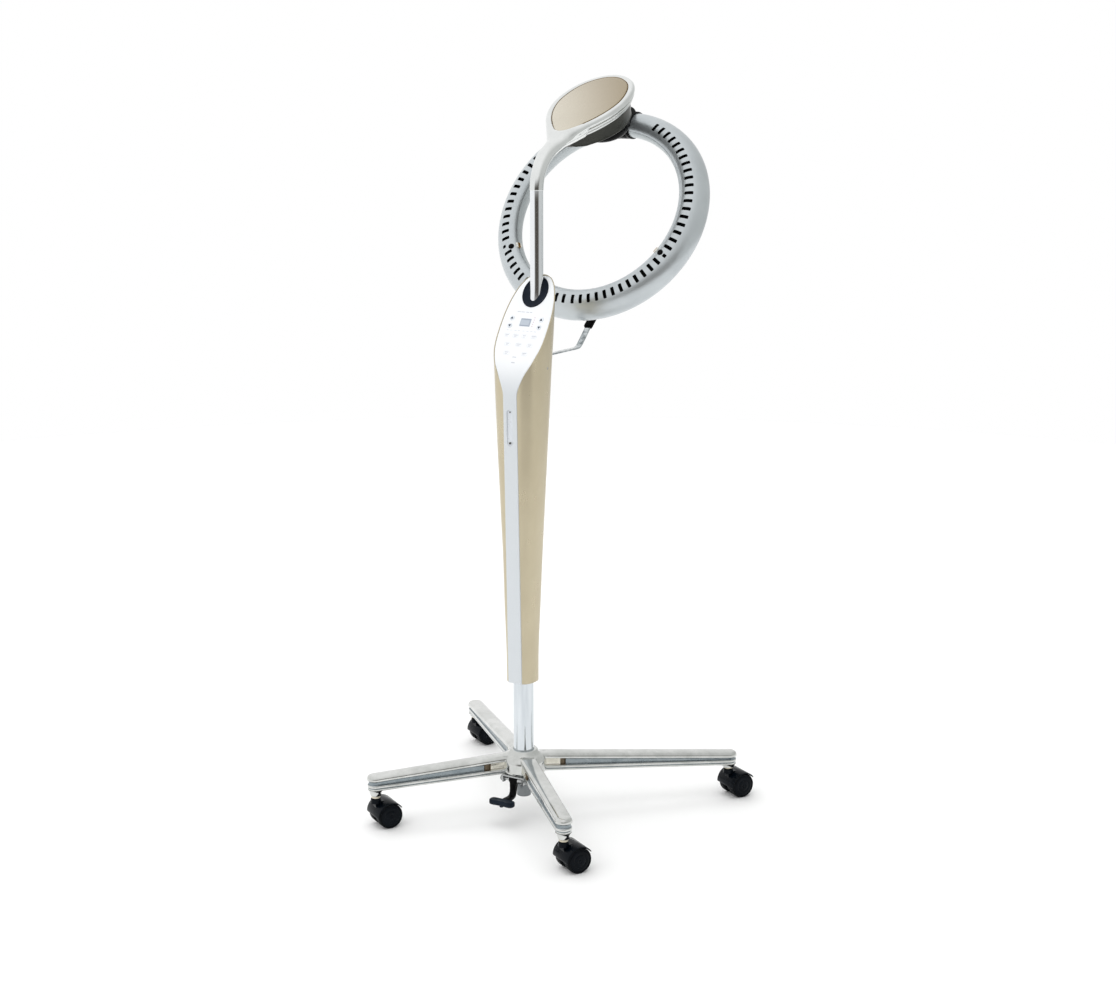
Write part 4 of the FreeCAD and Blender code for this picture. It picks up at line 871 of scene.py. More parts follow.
# rear cover up to the panel plane
Z_END = 1030.0 + (sec(1062.0)[2] - 49.2) / kt
zs = [278.0, 278.6, 279.6, 300, 330, 360, 390, 420, 450, 480, 510, 540, 570, 600, 630, 660, 690, 720, 750, 780, 810, 840, 870, 900, 925, 945, 960, 970, 976,
      980, 985, 990, 996, 1002, 1008, 1014, 1020, 1026, 1032, 1037, 1042, 1046, 1050, 1053, 1055.5, 1057.5, 1059.0, 1060.2, 1061.1, 1061.7]
YR = SEAM + 0.12
rings = []
for z in zs:
    trim_b = 0.5 if z < 278.1 else 0.15 if z < 279 else 0.0
    fy = face_y(z)
    w = leaf_w(z) + 0.15
    high = fy > YR + 0.6
    if high:
        ye = fy
        outer = arc_pts(z, 0.0, phi_of_y(z, min(fy, sec(z)[2] - 0.02)), 26)
        e = outer[-1]
        lip = Vector((min(w, max(e.x - 0.5, 0.0)), e.y, z))
        deep = Vector((lip.x, min(e.y + 3.2, sec(z, 0.4)[2]), z))
    else:
        ps = phi_of_y(z, YR, trim_b)
        outer = arc_pts(z, 0.0, phi_of_y(z, YR + 0.5, trim_b), 26, trim_b)
        lip = sec_pt(z, ps, trim_b + 0.45)
        deep = sec_pt(z, phi_of_y(z, YR, 1.2), 1.2)
    q_in = min(deep.y + 0.6, sec(z, WALL)[2] - 0.05)
    inner = arc_pts(z, phi_of_y(z, q_in, WALL), 0.0, 16, WALL)
    half = outer + [lip, deep] + inner
    loop = half + [Vector((-p.x, p.y, p.z)) for p in reversed(half)]
    rings.append(loop)
g = Geo()
g.loft(rings, None, 0, caps=(True, True))
cover_r = make("rear_cover_shell", g, [CHAMP], "column", ["rear_cover"], sharp=38)


def rear_y(z):
    return section_at(z)[2]


# seam screws
sx_ = half_x(893.0, 8.5)
g = Geo()
for s in (-1, 1):
    M = basis((s * (sx_ - 2.0), 8.5, 893.0), (0, 1, 0), (0, 0, s), (s, 0, 0))
    g.revolve([(0, 0), (2.55, 0), (2.55, 1.95), (2.3, 2.25), (1.35, 2.3), (1.1, 2.25), (1.05, 1.0), (0, 0.95)], M, 32)
make("seam_screws", g, [STEEL], "column", ["cover_screws"], sharp=35)

# ------------------------------------------------------------------ inlet, rocker
iy, INZ = rear_y(786.0), 786.0
BACK = basis((0, 0, 0), (1, 0, 0), (0, 0, 1), (0, 1, 0))     # local x across, y up, z along +Y


def frame_ring(g, w, h, r, wi, hi, ri, z0, z1, depth, M, mi=0, ch=0.6):
    o = lambda d, z: [(x, y, z) for x, y in rrect(w - d, h - d, max(r - d, 0.4), 6)]
    i = lambda d, z: [(x, y, z) for x, y in rrect(wi + d, hi + d, ri + d, 6)]
    g.loft([o(0, z0), o(0, z1 - ch), o(ch * 0.35, z1 - ch * 0.3), o(ch, z1), i(ch, z1), i(ch * 0.3, z1 - ch * 0.35), i(0, z1 - ch), i(0, z0 - depth),
            [(x * 1.0, y * 1.0, z0 - depth) for x, y in rrect(wi + 1.4, hi + 1.4, ri + 1, 6)], [(x, y, z0) for x, y in rrect(wi + 1.4, hi + 1.4, ri + 1, 6)]], M, mi, wrap=True)


g = Geo()
M = BACK.copy()
M.translation = Vector((0, iy, INZ))
frame_ring(g, 25.0, 14.0, 3.0, 12.0, 8.0, 2.4, -0.6, 2.6, 13.0, M)
g.loft([[(x, y, z) for x, y in rrect(13.2, 9.2, 2.4, 6)] for z in (-13.0, -20.5)], M, 0, caps=(True, True))
for px, pz in ((-7, -2), (7, -2), (0, 2.5)):
    g.loft([[(x + px, y + pz, z) for x, y in rrect(1.0 - d, 2.0 - d, 0.4, 3)] for z, d in ((-13.2, 0), (-2.0, 0), (-1.5, 0.35))], M, 1, caps=(True, True))
for px in (-19.5, 19.5):
    g.revolve([(0, 2.1), (2.9, 2.1), (2.9, 2.75), (2.5, 3.0), (1.2, 3.05), (1.0, 2.2), (0, 2.15)], M @ Matrix.Translation((px, 0, 0)), 28, 1)
make("mains_inlet_socket", g, [BLACKP, STEEL], "column", ["mains_inlet"], sharp=35)
ry, RKZ = rear_y(819.0), 819.0
g = Geo()
M = BACK.copy()
M.translation = Vector((0, ry, RKZ))
frame_ring(g, 11.5, 8.5, 1.6, 8.6, 5.6, 0.6, -0.6, 2.0, 6.9, M, 0, 0.5)
g.loft([[(x, y, z) for x, y in rrect(9.7, 6.7, 1.0, 5)] for z in (-7.5, -14.0)], M, 0, caps=(True, True))
make("mains_switch_bezel", g, [BLACKP], "column", ["mains_switch_frame"], sharp=35)
g = Geo()
rk = catmull([(-8.2, 2.0), (-4.5, 2.55), (0, 3.0), (4.5, 2.55), (8.2, 2.0)], 4)
prof = [(-8.2, -3.2), (0, -4.4), (8.2, -3.2)][::-1] + rk
g.prism([(x, z) for x, z in prof], -4.6, 4.6, basis((0, ry, RKZ), (1, 0, 0), (0, 1, 0), (0, 0, 1)), 0)
g.prism(rrect(0.35, 1.7, 0.3, 3, cx=-5.2), 2.42, 2.6, basis((0, ry, RKZ), (1, 0, 0), (0, 0, 1), (0, 1, 0)), 1)
make("mains_rocker_cap", g, [REDISH, NYLON], "rocker", ["mains_rocker"], bevel=0.35)
g = Geo()
M = basis((5.2, ry + 2.42, RKZ), (1, 0, 0), (0, 0, 1), (0, 1, 0))
A = [(1.7 * math.cos(2 * PI * i / 24), 1.7 * math.sin(2 * PI * i / 24)) for i in range(24)]
B = [(x * 0.8, y * 0.8) for x, y in A]
g.loft([[(x, y, 0.0) for x, y in A], [(x, y, 0.16) for x, y in A], [(x, y, 0.16) for x, y in B], [(x, y, 0.0) for x, y in B]], M, 0, wrap=True)
make("mains_rocker_print", g, [NYLON], "rocker", [], sharp=40)

# ------------------------------------------------------------------ distance bracket
by = rear_y(905.0)
lean = math.atan2(rear_y(930.0) - rear_y(880.0), 50.0)
FOOT = basis((0, by, 905.0), (1, 0, 0), (0, math.sin(lean), math.cos(lean)), (0, -math.cos(lean), math.sin(lean)))
spine = [(by - 1.6, 904.4), (110.0, 903.9), (170.0, 903.5), (196.0, 903.3), (205.0, 904.0), (212.0, 906.8), (219.0, 912.6), (230.0, 922.4), (241.8, 933.6),
         (247.8, 939.4), (258.0, 948.4), (270.4, 958.8)]
spine = catmull(spine, 4)
g = Geo()
rings = []
for i, (y, z) in enumerate(spine):
    y0, z0 = spine[max(i - 1, 0)]
    y1, z1 = spine[min(i + 1, len(spine) - 1)]
    q = math.hypot(y1 - y0, z1 - z0)
    ty, tz = (y1 - y0) / q, (z1 - z0) / q
    hw = 6.0
    rings.append([(x, y - tz * t, z + ty * t) for x, t in rrect(hw, 1.5, 0.6, 4)])
g.loft(rings, None, 0, caps=(True, True))
g.loft([[(x, y, -z) for x, y in rrect(11.0 - d, 19.0 - d, 2.5, 6)] for z, d in ((0.0, 0), (2.3, 0), (2.7, 0.25), (2.8, 0.6))], FOOT @ Matrix.Scale(1, 4), 0, caps=(True, True))
for s in (-13.0, 13.0):
    g.revolve([(0, -3.0), (4.0, -3.0), (4.0, -3.6), (3.5, -4.05), (1.6, -4.1), (1.4, -3.2), (0, -3.15)], FOOT @ Matrix.Translation((0, s, 0)), 32)
make("distance_bracket_strap", g, [STRAPM], "column", ["distance_bracket"], sharp=34)
sl = [(246.0, 938.8), (273.2, 961.2)]
dy, dz = sl[1][0] - sl[0][0], sl[1][1] - sl[0][1]
q = math.hypot(dy, dz)
SLV = basis((0, sl[0][0], sl[0][1]), (1, 0, 0), (0, -dz / q, dy / q), (0, dy / q, dz / q))
g = Geo()
rings = []
nL = 22
for i in range(nL + 1):
    t = i / nL
    z = q * t
    d = 0.0
    if i == 0 or i == nL:
        d = 1.6
    elif i == 1 or i == nL - 1:
        d = 0.35
    elif 3 <= i <= nL - 3 and i % 3 == 0:
        d = 0.45
    rings.append([(x, y, z) for x, y in rrect(8.5 - d, 4.6 - d, 2.6, 7)])
g.loft(rings, SLV, 0, caps=(True, True))
make("bracket_sleeve_rubber", g, [SLEEVE], "column", ["bracket_sleeve"], sharp=50)

# ------------------------------------------------------------------ post and cup
g = Geo()
g.revolve([(17.5, 97.2), (19.75, 97.2), (19.75, 698.8), (19.3, 699.8), (17.9, 699.8), (17.5, 699.0)], None, 96)
make("post_tube_chrome", g, [POSTM], "base", ["post_tube"], sharp=40)
g = Geo()
g.revolve([(4.0, 40.3), (11.8, 40.0), (12.9, 40.3), (13.7, 41.0), (14.0, 42.2), (14.0, 69.6), (13.7, 70.8), (13.0, 71.6), (12.0, 72.4), (11.7, 73.4), (11.6, 91.0),
           (4.0, 91.0)], None, 72)
make("spring_cup_steel", g, [CUPM], "base", ["spring_cup"], sharp=44)

# ------------------------------------------------------------------ base casting
WL = 16.5
legs = sorted([(math.atan2(y, x) % (2 * PI), math.hypot(x, y)) for x, y in STEMS.values()])
samples = []          # position, normal, r along the leg, tip, skeleton point
FR = 26.0
BORE_R = 20.6


def side_rs(r0, r1):
    out, r = [], r0
    while r < r1 - 0.6:
        out.append(r)
        if 66.0 <= r < 88.0:
            r += 1.0
        elif r > r1 - 24.0:
            r += 2.4
        elif r < 66.0:
            r += 3.0
        else:
            r += 7.0
    return out


for k, (al, reach) in enumerate(legs):
    al2, reach2 = legs[(k + 1) % 4]
    al_prev = legs[(k - 1) % 4][0]
    u = Vector((math.cos(al), math.sin(al)))
    v = Vector((-math.sin(al), math.cos(al)))
    gap_prev = (al - al_prev) % (2 * PI)
    gap_next = (al2 - al) % (2 * PI)
    # tangent distances of the fillets on either side
    rt_prev = WL / math.tan(gap_prev / 2) + FR / math.tan(gap_prev / 2)
    rt_next = WL / math.tan(gap_next / 2) + FR / math.tan(gap_next / 2)
    for r in side_rs(rt_prev, reach):
        samples.append((u * r - v * WL, -v, r, 0.0, u * r))
    nt_ = 28
    for i in range(nt_ + 1):
        a = -PI / 2 + PI * i / nt_
        n2 = u * math.cos(a) + v * math.sin(a)
        samples.append((u * reach + n2 * WL, n2, reach, 1.0, u * reach))
    for r in reversed(side_rs(rt_next, reach)):
        samples.append((u * r + v * WL, v, r, 0.0, u * r))
    # fillet to the next leg: centre on the bisector
    bis = (al + gap_next / 2)
    cdist = (WL + FR) / math.sin(gap_next / 2)
    c = Vector((math.cos(bis), math.sin(bis))) * cdist
    p0 = u * rt_next + v * WL
    u2 = Vector((math.cos(al2), math.sin(al2)))
    v2 = Vector((-math.sin(al2), math.cos(al2)))
    p1 = u2 * rt_next - v2 * WL
    a0 = math.atan2(p0.y - c.y, p0.x - c.x)
    a1 = math.atan2(p1.y - c.y, p1.x - c.x)
    d = (a1 - a0 + PI) % (2 * PI) - PI
    nf = 14
    for i in range(1, nf):
        a = a0 + d * i / nf
        e = Vector((math.cos(a), math.sin(a)))
        pos = c + e * FR
        f = i / nf
        S = u * (rt_next * (1 - 2 * f)) if f < 0.5 else u2 * (rt_next * (2 * f - 1))
        if S.length < BORE_R:
            # the legs meet round the hub's bore
            f1 = (1 - BORE_R / rt_next) / 2
            aa = al + gap_next * min(max((f - f1) / (1 - 2 * f1), 0.0), 1.0)
            S = Vector((math.cos(aa), math.sin(aa))) * BORE_R
        samples.append((pos, -e, pos.length, -1.0, S))


def leg_levels(r, tip):
    zt, zb = 131.0 - 0.0825 * r, 93.3 - 0.0561 * r
    if tip < 0:
        zt, zb = 131.0 - 0.0825 * 42, 93.3 - 0.0561 * 42
    web = 15.1
    notch = 7.2
    if tip > 0:
        wg, cap = 13.4, 0.0
    elif tip < 0 or r < 70.0:
        wg = web
    elif r < 71.2:
        wg = lerp(web, notch, (r - 70.0) / 1.2)
    elif r < 80.8:
        wg = notch
    elif r < 82.0:
        wg = lerp(notch, 12.0, (r - 80.8) / 1.2)
    else:
        wg = 12.0
    return [(9.6, zt), (11.6, zt - 0.45), (13.3, zt - 1.35), (14.7, zt - 2.6), (15.7, zt - 4.2), (16.3, zt - 6.0), (16.5, zt - 7.6), (16.5, zt - 9.0), (16.3, zt - 9.8),
            (15.6, zt - 10.5), (max(wg + 0.6, 12.6 if wg > 10 else wg + 0.6), zt - 11.6), (wg, zt - 12.6), (wg, (zt + zb) / 2), (wg, zb + 12.8),
            (max(wg + 0.5, 12.2 if wg > 10 else wg + 0.5), zb + 11.8), (15.1, zb + 11.0), (15.6, zb + 10.2), (15.7, zb + 8.4), (15.6, zb + 6.8), (15.1, zb + 6.0), (14.3, zb + 5.5),
            (14.1, zb + 4.6), (14.5, zb + 3.9), (14.5, zb + 2.2), (14.1, zb + 1.0), (12.9, zb + 0.15), (10.5, zb)]


cols = []
for pos, n2, r, tip, S in samples:
    lv = leg_levels(r, tip)
    zt, zb = lv[0][1], lv[-1][1]
    col = []
    top_in = pos + n2 * (lv[0][0] - WL)
    bot_in = pos + n2 * (lv[-1][0] - WL)
    for f, up_ in ((1.0, 0.62), (0.66, 0.55), (0.33, 0.33)):
        p = top_in.lerp(S, f)
        col.append((p.x, p.y, zt + up_))
    for l, z in lv:
        p = pos + n2 * (l - WL)
        col.append((p.x, p.y, z))
    for f in (0.33, 0.66, 1.0):
        p = bot_in.lerp(S, f)
        col.append((p.x, p.y, zb))
    cols.append(col)
g = Geo()


def leg_slot(i, j):
    """material of a face of the casting: channel (painted shade), notch, root block or plain"""
    if 23 <= j <= 24:
        return 1
    if not 12 <= j <= 17:
        return 0
    _, _, r_, tip_, _ = samples[i]
    if tip_ < 0 or r_ < 70.0:
        return 2
    if tip_ == 0 and r_ < 82.0:
        return 3
    return 1


g.loft(cols, None, leg_slot, closed=False, wrap=True)
nc_ = len(cols[0])
for i in range(len(cols)):
    i2 = (i + 1) % len(cols)
    if samples[i][3] < 0 and samples[i2][3] < 0 and max(samples[i][4].length, samples[i2][4].length) < BORE_R + 0.01:
        g.face((i * nc_, i * nc_ + nc_ - 1, i2 * nc_ + nc_ - 1, i2 * nc_))
hub_prof = [(19.8, 91.6), (40.0, 91.6), (43.0, 92.6), (44.6, 95.0), (45.0, 98.0), (45.0, 112.0), (44.4, 117.0), (42.4, 121.6), (39.2, 124.8), (35.5, 127.0), (32.6, 128.6),
            (30.4, 130.4), (28.7, 132.8), (27.6, 135.2), (26.6, 136.5), (25.2, 137.0), (21.2, 137.0), (20.4, 136.4), (19.8, 135.2)]
g.revolve(hub_prof, None, 120)
for x, y in STEMS.values():
    zb = 93.3 - 0.0561 * math.hypot(x, y)
    M = Matrix.Translation((x, y, 0))
    g.revolve([(5.6, zb + 0.8), (15.6, zb + 0.8), (14.4, zb - 0.6), (13.3, zb - 2.0), (12.7, zb - 3.6), (12.2, zb - 6.0), (10.6, 65.8), (10.2, 64.8), (9.4, 64.4), (5.6, 64.4)], M, 56)
base = make("base_star_casting", g, [POLISHED, CHANNEL_SHADE, BLOCKM, NOTCHM], "base", ["base_casting"], sharp=46)
g = Geo()
for x, y in STEMS.values():
    g.revolve([(5.55, 59.9), (8.1, 59.9), (8.7, 60.4), (8.8, 61.1), (8.8, 63.4), (8.4, 64.2), (7.8, 64.5), (5.55, 64.5)], Matrix.Translation((x, y, 0)), 48)
make("caster_socket_collars", g, [COLLARM], "base", ["caster_collars"], sharp=44)

# ------------------------------------------------------------------ casters
roll = math.hypot(*TRAIL)
rd = (TRAIL[0] / roll, TRAIL[1] / roll)
for k, (sx, sy) in STEMS.items():
    CF = basis((sx + TRAIL[0], sy + TRAIL[1], 25.0), (rd[0], rd[1], 0), (-rd[1], rd[0], 0), (0, 0, 1))
    # axle frame: local z along the axle
    AX = CF @ basis((0, 0, 0), (0, 0, 1), (1, 0, 0), (0, 1, 0))
    g = Geo()
    for s in (-1, 1):
        y0, y1 = s * 7.5, s * 25.5
        prof = [(3.1, y0), (10.0, y0), (21.8, y0), (22.8, y0 + s * 0.3), (24.0, y0 + s * 1.0), (24.7, y0 + s * 2.1), (25.0, y0 + s * 3.6), (25.0, y0 + s * 8.9), (25.0, y1 - s * 4.0),
                (24.8, y1 - s * 2.4), (24.2, y1 - s * 1.1), (23.2, y1 - s * 0.3), (22.2, y1), (21.5, y1 - s * 0.2), (21.0, y1 - s * 0.9), (20.5, y1 - s * 1.0), (20.0, y1 - s * 0.6),
                (19.2, y1 - s * 0.1), (16.0, y1 + s * 0.35), (12.4, y1 + s * 0.6), (11.8, y1 + s * 0.25), (11.2, y1 + s * 0.6), (7.0, y1 + s * 1.0), (3.6, y1 + s * 1.2), (3.1, y1 + s * 0.9)]
        mi = [1] + [1] * 1 + [0] * 11 + [1] * 12
        g.revolve(prof, AX, 64, mi)
    make("caster_wheels_" + k + "_pair", g, [TREAD, CASTER], "wheels_" + k, ["caster_wheels_" + k], sharp=50)
    g = Geo()
    g.revolve([(3.1, -6.9), (20.6, -6.9), (21.3, -6.5), (21.5, -5.9), (21.5, 5.9), (21.3, 6.5), (20.6, 6.9), (3.1, 6.9)], AX, 56)
    # fender: arched band with rounded rim
    rings = []
    nA = 34
    for i in range(nA + 1):
        t = i / nA
        a = math.radians(lerp(34.0, 183.0, t))
        end = min(t, 1 - t) * 149.0
        sq = min(end / 2.2, 1.0)
        sq = math.sqrt(max(1 - (1 - sq) ** 2, 0.02))
        lift = 0.9 * smooth(12.0 - end, 0, 12.0) if t < 0.5 else 0.0
        r_mid = 27.3 + lift * 0.0
        pts = []
        hw = 28.5 * (1.0 if sq >= 0.999 else 0.965 + 0.035 * sq)
        for yy, rr in rrect(hw, 1.1 * sq, min(1.05 * sq, 1.05), 5):
            droop = -1.3 * smooth(abs(yy), 24.5, 28.5)
            rad = r_mid + rr + droop * 0.35
            pts.append((rad * math.cos(a), yy, rad * math.sin(a)))
        rings.append(pts)
    g.loft(rings, CF, 0, caps=(True, True))
    # web between fin and fender, neck for the stem
    web = [(-roll + 3, 4.0), (-6.0, 14.0), (2.0, 27.0), (-8.0, 28.0), (-roll - 2, 28.0), (-roll - 4.0, 22.0), (-roll - 2.0, 12.0)]
    g.prism([(x, z) for x, z in web], -6.9, 6.9, CF @ basis((0, 0, 0), (1, 0, 0), (0, 0, 1), (0, -1, 0)), 0)
    g.revolve([(5.6, 24.6), (10.6, 24.6), (10.3, 27.4), (10.1, 29.2), (10.0, 31.2), (10.0, 32.6), (9.6, 33.7), (8.8, 34.2), (5.6, 34.2)], CF @ Matrix.Translation((-roll, 0, 0)), 48)
    make("caster_hood_" + k + "_cap", g, [CASTER], "swivel_" + k, ["caster_hood_" + k], sharp=38)
    g = Geo()
    g.revolve([(0, -26.9), (2.2, -26.9), (2.9, -26.4), (3.0, -25.8), (3.0, 25.8), (2.9, 26.4), (2.2, 26.9), (0, 26.9)], AX, 28, 1)
    g.revolve([(0, 25.0), (5.4, 25.0), (5.4, 57.5), (5.0, 59.4), (3.8, 60.8), (0, 61.0)], CF @ Matrix.Translation((-roll, 0, 0)), 36)
    make("caster_steel_" + k + "_stem", g, [STEEL, CASTER], "swivel_" + k, ["caster_steel_" + k], sharp=40)

# ------------------------------------------------------------------ foot pedal
PY, PZ = -36.0, 82.0
XF = basis((0, PY, PZ), (0, 1, 0), (0, 0, 1), (1, 0, 0))       # local z along +X
g = Geo()
g.revolve([(3.1, -9), (5.9, -9), (6.4, -8.5), (6.4, 8.5), (5.9, 9), (3.1, 9)], XF, 40)
lev = [(-42.2, 83.5), (-31.5, 77.4), (-36.0, 60.0), (-38.5, 52.0), (-43.0, 47.8), (-72.0, 46.8), (-72.0, 52.6), (-48.0, 53.4), (-44.4, 57.5), (-43.0, 64.0)]
lev = catmull(lev, 4, closed=True)
YZ = basis((0, 0, 0), (0, 1, 0), (0, 0, 1), (1, 0, 0))
g2 = Geo()
n = len(lev)
cx = sum(p[0] for p in lev) / n
rings = []
for x, d in ((-6.5, 1.2), (-6.1, 0.4), (-5.3, 0.0), (5.3, 0.0), (6.1, 0.4), (6.5, 1.2)):
    pts = []
    for i, (y, z) in enumerate(lev):
        y0, z0 = lev[i - 1]
        y1, z1 = lev[(i + 1) % n]
        q = max(math.hypot(y1 - y0, z1 - z0), 1e-6)
        ny, nz = (z1 - z0) / q, -(y1 - y0) / q
        pts.append((x, y + ny * d, z + nz * d))
    rings.append(pts)
area = sum(a[0] * b[1] - b[0] * a[1] for a, b in zip(lev, lev[1:] + lev[:1]))
if area < 0:
    rings2 = []
    for x, d in ((-6.5, 1.2), (-6.1, 0.4), (-5.3, 0.0), (5.3, 0.0), (6.1, 0.4), (6.5, 1.2)):
        pts = []
        for i, (y, z) in enumerate(lev):
            y0, z0 = lev[i - 1]
            y1, z1 = lev[(i + 1) % n]
            q = max(math.hypot(y1 - y0, z1 - z0), 1e-6)
            pts.append((x, y - (z1 - z0) / q * -d, z - (y1 - y0) / q * d))
        rings2.append(pts)
    rings = rings2
else:
    rings = [[(x, y - (ny_), z) for (x, y, z), ny_ in zip(rg, [0] * n)] for rg in rings]
g.loft(rings, None, 0, caps=(True, True))
g.prism(rrect(5.0, 8.25, 1.0, 4, cx=0.0, cy=-24.75), 78.6, 82.4, None, 0)
make("pedal_lever_arm", g, [BLACKP], "pedal", ["pedal_lever"], sharp=40)
pad = [(-27.5, 0), (-24.5, -7.5), (-18, -9.2), (-9, -7.6), (0, -7.0), (9, -7.6), (18, -9.2), (24.5, -7.5), (27.5, 0),
       (24.5, 7.2), (16, 8.6), (7, 8.6), (0, 8.6), (-7, 8.6), (-16, 8.6), (-24.5, 7.2)]
pad = catmull(pad, 4, closed=True)
g = Geo()
rings = []
for z, sc, in ((45.0, 0.86), (45.5, 0.93), (46.6, 0.985), (48.2, 1.0), (51.4, 1.0), (53.0, 0.99), (54.2, 0.95), (54.9, 0.88), (55.0, 0.72), (54.7, 0.60), (54.7, 0.2)):
    rings.append([(x * (1 - (1 - sc) * 0.55), -81.0 + y * sc, z) for x, y in pad])
g.loft(rings, None, 0, caps=(True, True))
for x0 in (-16.0, -12.0, 12.0, 16.0):
    g.prism(rrect(0.7, 4.2, 0.6, 4, cx=x0, cy=-81.0), 54.5, 55.0, None, 0)
g.revolve([(0, 41.5), (3.2, 41.5), (3.8, 42.0), (4.0, 42.8), (4.0, 45.6), (0, 45.6)], Matrix.Translation((0, -83, 0)), 32)
make("pedal_pad_rubber", g, [RUBBER], "pedal", ["pedal_pad"], sharp=44)
g = Geo()
hexa = [(5.8 * math.cos(math.radians(a)), 5.8 * math.sin(math.radians(a))) for a in range(0, 360, 60)]
g.prism(hexa, -29.5, -25.3, XF)
g.revolve([(2.9, -25.3), (6.6, -25.3), (6.6, -24.0), (2.9, -24.0)], XF, 36)
g.revolve([(0, -26), (3.0, -26), (3.0, 27.5), (2.4, 28.4), (0, 28.5)], XF, 32)
bolt = make("pedal_bolt_hex", g, [STEEL], "base", ["pedal_bolt"], bevel=0.45)

# ------------------------------------------------------------------ head
INLAY = [(-129.4, 0), (-127.9, 6.3), (-124, 12), (-109, 24.7), (-94, 34.7), (-79, 44.0), (-64, 51.5), (-49, 57.6), (-34, 62.1), (-19, 65.2), (-4, 66.5),
         (10.6, 65.9), (25.6, 63.7), (40.6, 60.1), (55.6, 54.3), (70.6, 45.5), (85.0, 31.0), (93.2, 17.5), (96.5, 0)]


def periodic(pts, count):
    """closed cubic spline through points, resampled evenly"""
    P = np.array(pts, float)
    n = len(P)
    d = np.linalg.norm(np.roll(P, -1, 0) - P, axis=1)
    A = np.zeros((n, n))
    r = np.zeros((n, 2))
    for i in range(n):
        hm, hp = d[i - 1], d[i]
        A[i, (i - 1) % n] += hm
        A[i, i] += 2 * (hm + hp)
        A[i, (i + 1) % n] += hp
        r[i] = 6 * ((P[(i + 1) % n] - P[i]) / hp - (P[i] - P[i - 1]) / hm)
    m = np.linalg.solve(A, r)
    fine = []
    for i in range(n):
        j = (i + 1) % n
        for k in range(24):
            b = k / 24.0
            a = 1 - b
            fine.append(a * P[i] + b * P[j] + ((a ** 3 - a) * m[i] + (b ** 3 - b) * m[j]) * d[i] ** 2 / 6)
    F = np.array(fine)
    seg = np.linalg.norm(np.roll(F, -1, 0) - F, axis=1)
    cum = np.concatenate([[0], np.cumsum(seg)])
    t = np.linspace(0, cum[-1], count, endpoint=False)
    Fc = np.vstack([F, F[:1]])
    X = np.interp(t, cum, Fc[:, 0])
    Y = np.interp(t, cum, Fc[:, 1])
    return np.stack([X, Y], 1)


NC_ = 168
BASEC = periodic([(w, s) for s, w in INLAY] + [(-w, s) for s, w in reversed(INLAY[1:-1])], NC_)
tan = np.roll(BASEC, -1, 0) - np.roll(BASEC, 1, 0)
tan /= np.linalg.norm(tan, axis=1)[:, None]
NRM = np.stack([tan[:, 1], -tan[:, 0]], 1)
if np.sum(BASEC[:, 0] * np.roll(BASEC[:, 1], -1) - np.roll(BASEC[:, 0], -1) * BASEC[:, 1]) < 0:
    NRM = -NRM


def off(d, h):
    return [(BASEC[i, 0] + NRM[i, 0] * d, BASEC[i, 1] + NRM[i, 1] * d, -h) for i in range(NC_)]


RIM = [(0.3, 0.95), (-0.35, 1.5), (-0.95, 2.7), (-1.3, 4.4), (-1.4, 6.4), (-1.15, 8.4), (-0.45, 10.2), (0.75, 11.7), (2.3, 12.8), (4.0, 13.3), (5.8, 13.4), (7.4, 13.1),
       (8.7, 12.4), (9.6, 11.3), (9.9, 10.6), (10.3, 9.8), (10.9, 9.7), (11.2, 10.3), (11.7, 10.8), (12.8, 10.9), (14.2, 10.6), (15.4, 9.9), (16.3, 9.0), (16.7, 8.2),
       (17.0, 7.2), (17.5, 6.9), (17.9, 7.2), (18.4, 7.6), (19.4, 7.5), (20.8, 7.0), (22.2, 6.0), (23.3, 4.8), (24.2, 3.0), (24.6, 0.9)]
rim_g = Geo()
rings = [off(d, h) for h, d in RIM] + [off(-4.0, 24.6), off(-4.0, 12.0), off(-4.0, 3.5), off(0.9, 3.5)]
# the rim's two grooves take the second material, a painted dark reflection line
rim_g.loft(rings, HEAD, lambda i, j: 1 if i in (14, 15, 16, 23, 24, 25) else 0, wrap=True)
rim_g.loft([off(-3.9, 3.5), off(-3.9, 7.0)], HEAD, 0, caps=(True, True))

# neck: a bent bar of elliptical section that runs softly into the head's rim
NECK_R, NECK_TURN, NECK_Z = 78.0, math.radians(64.0), 1218.0
NSEC = [(0.0, 13.0, 13.0), (12.0, 13.2, 12.8), (26.0, 13.6, 12.3), (40.0, 14.8, 12.1), (52.0, 16.0, 11.9), (64.0, 17.2, 11.7)]
RUNS = [(14.0, 18.6, 11.5), (30.0, 21.5, 11.2), (46.0, 27.0, 10.8), (60.0, 31.0, 10.2), (70.0, 32.0, 9.4)]
arc_len = NECK_R * NECK_TURN
NS_L = np.array([NECK_R * math.radians(a) for a, _, _ in NSEC] + [arc_len + r for r, _, _ in RUNS])
NS_X = np.array([x for _, x, _ in NSEC] + [x for _, x, _ in RUNS])
NS_T = np.array([t for _, _, t in NSEC] + [t for _, _, t in RUNS])


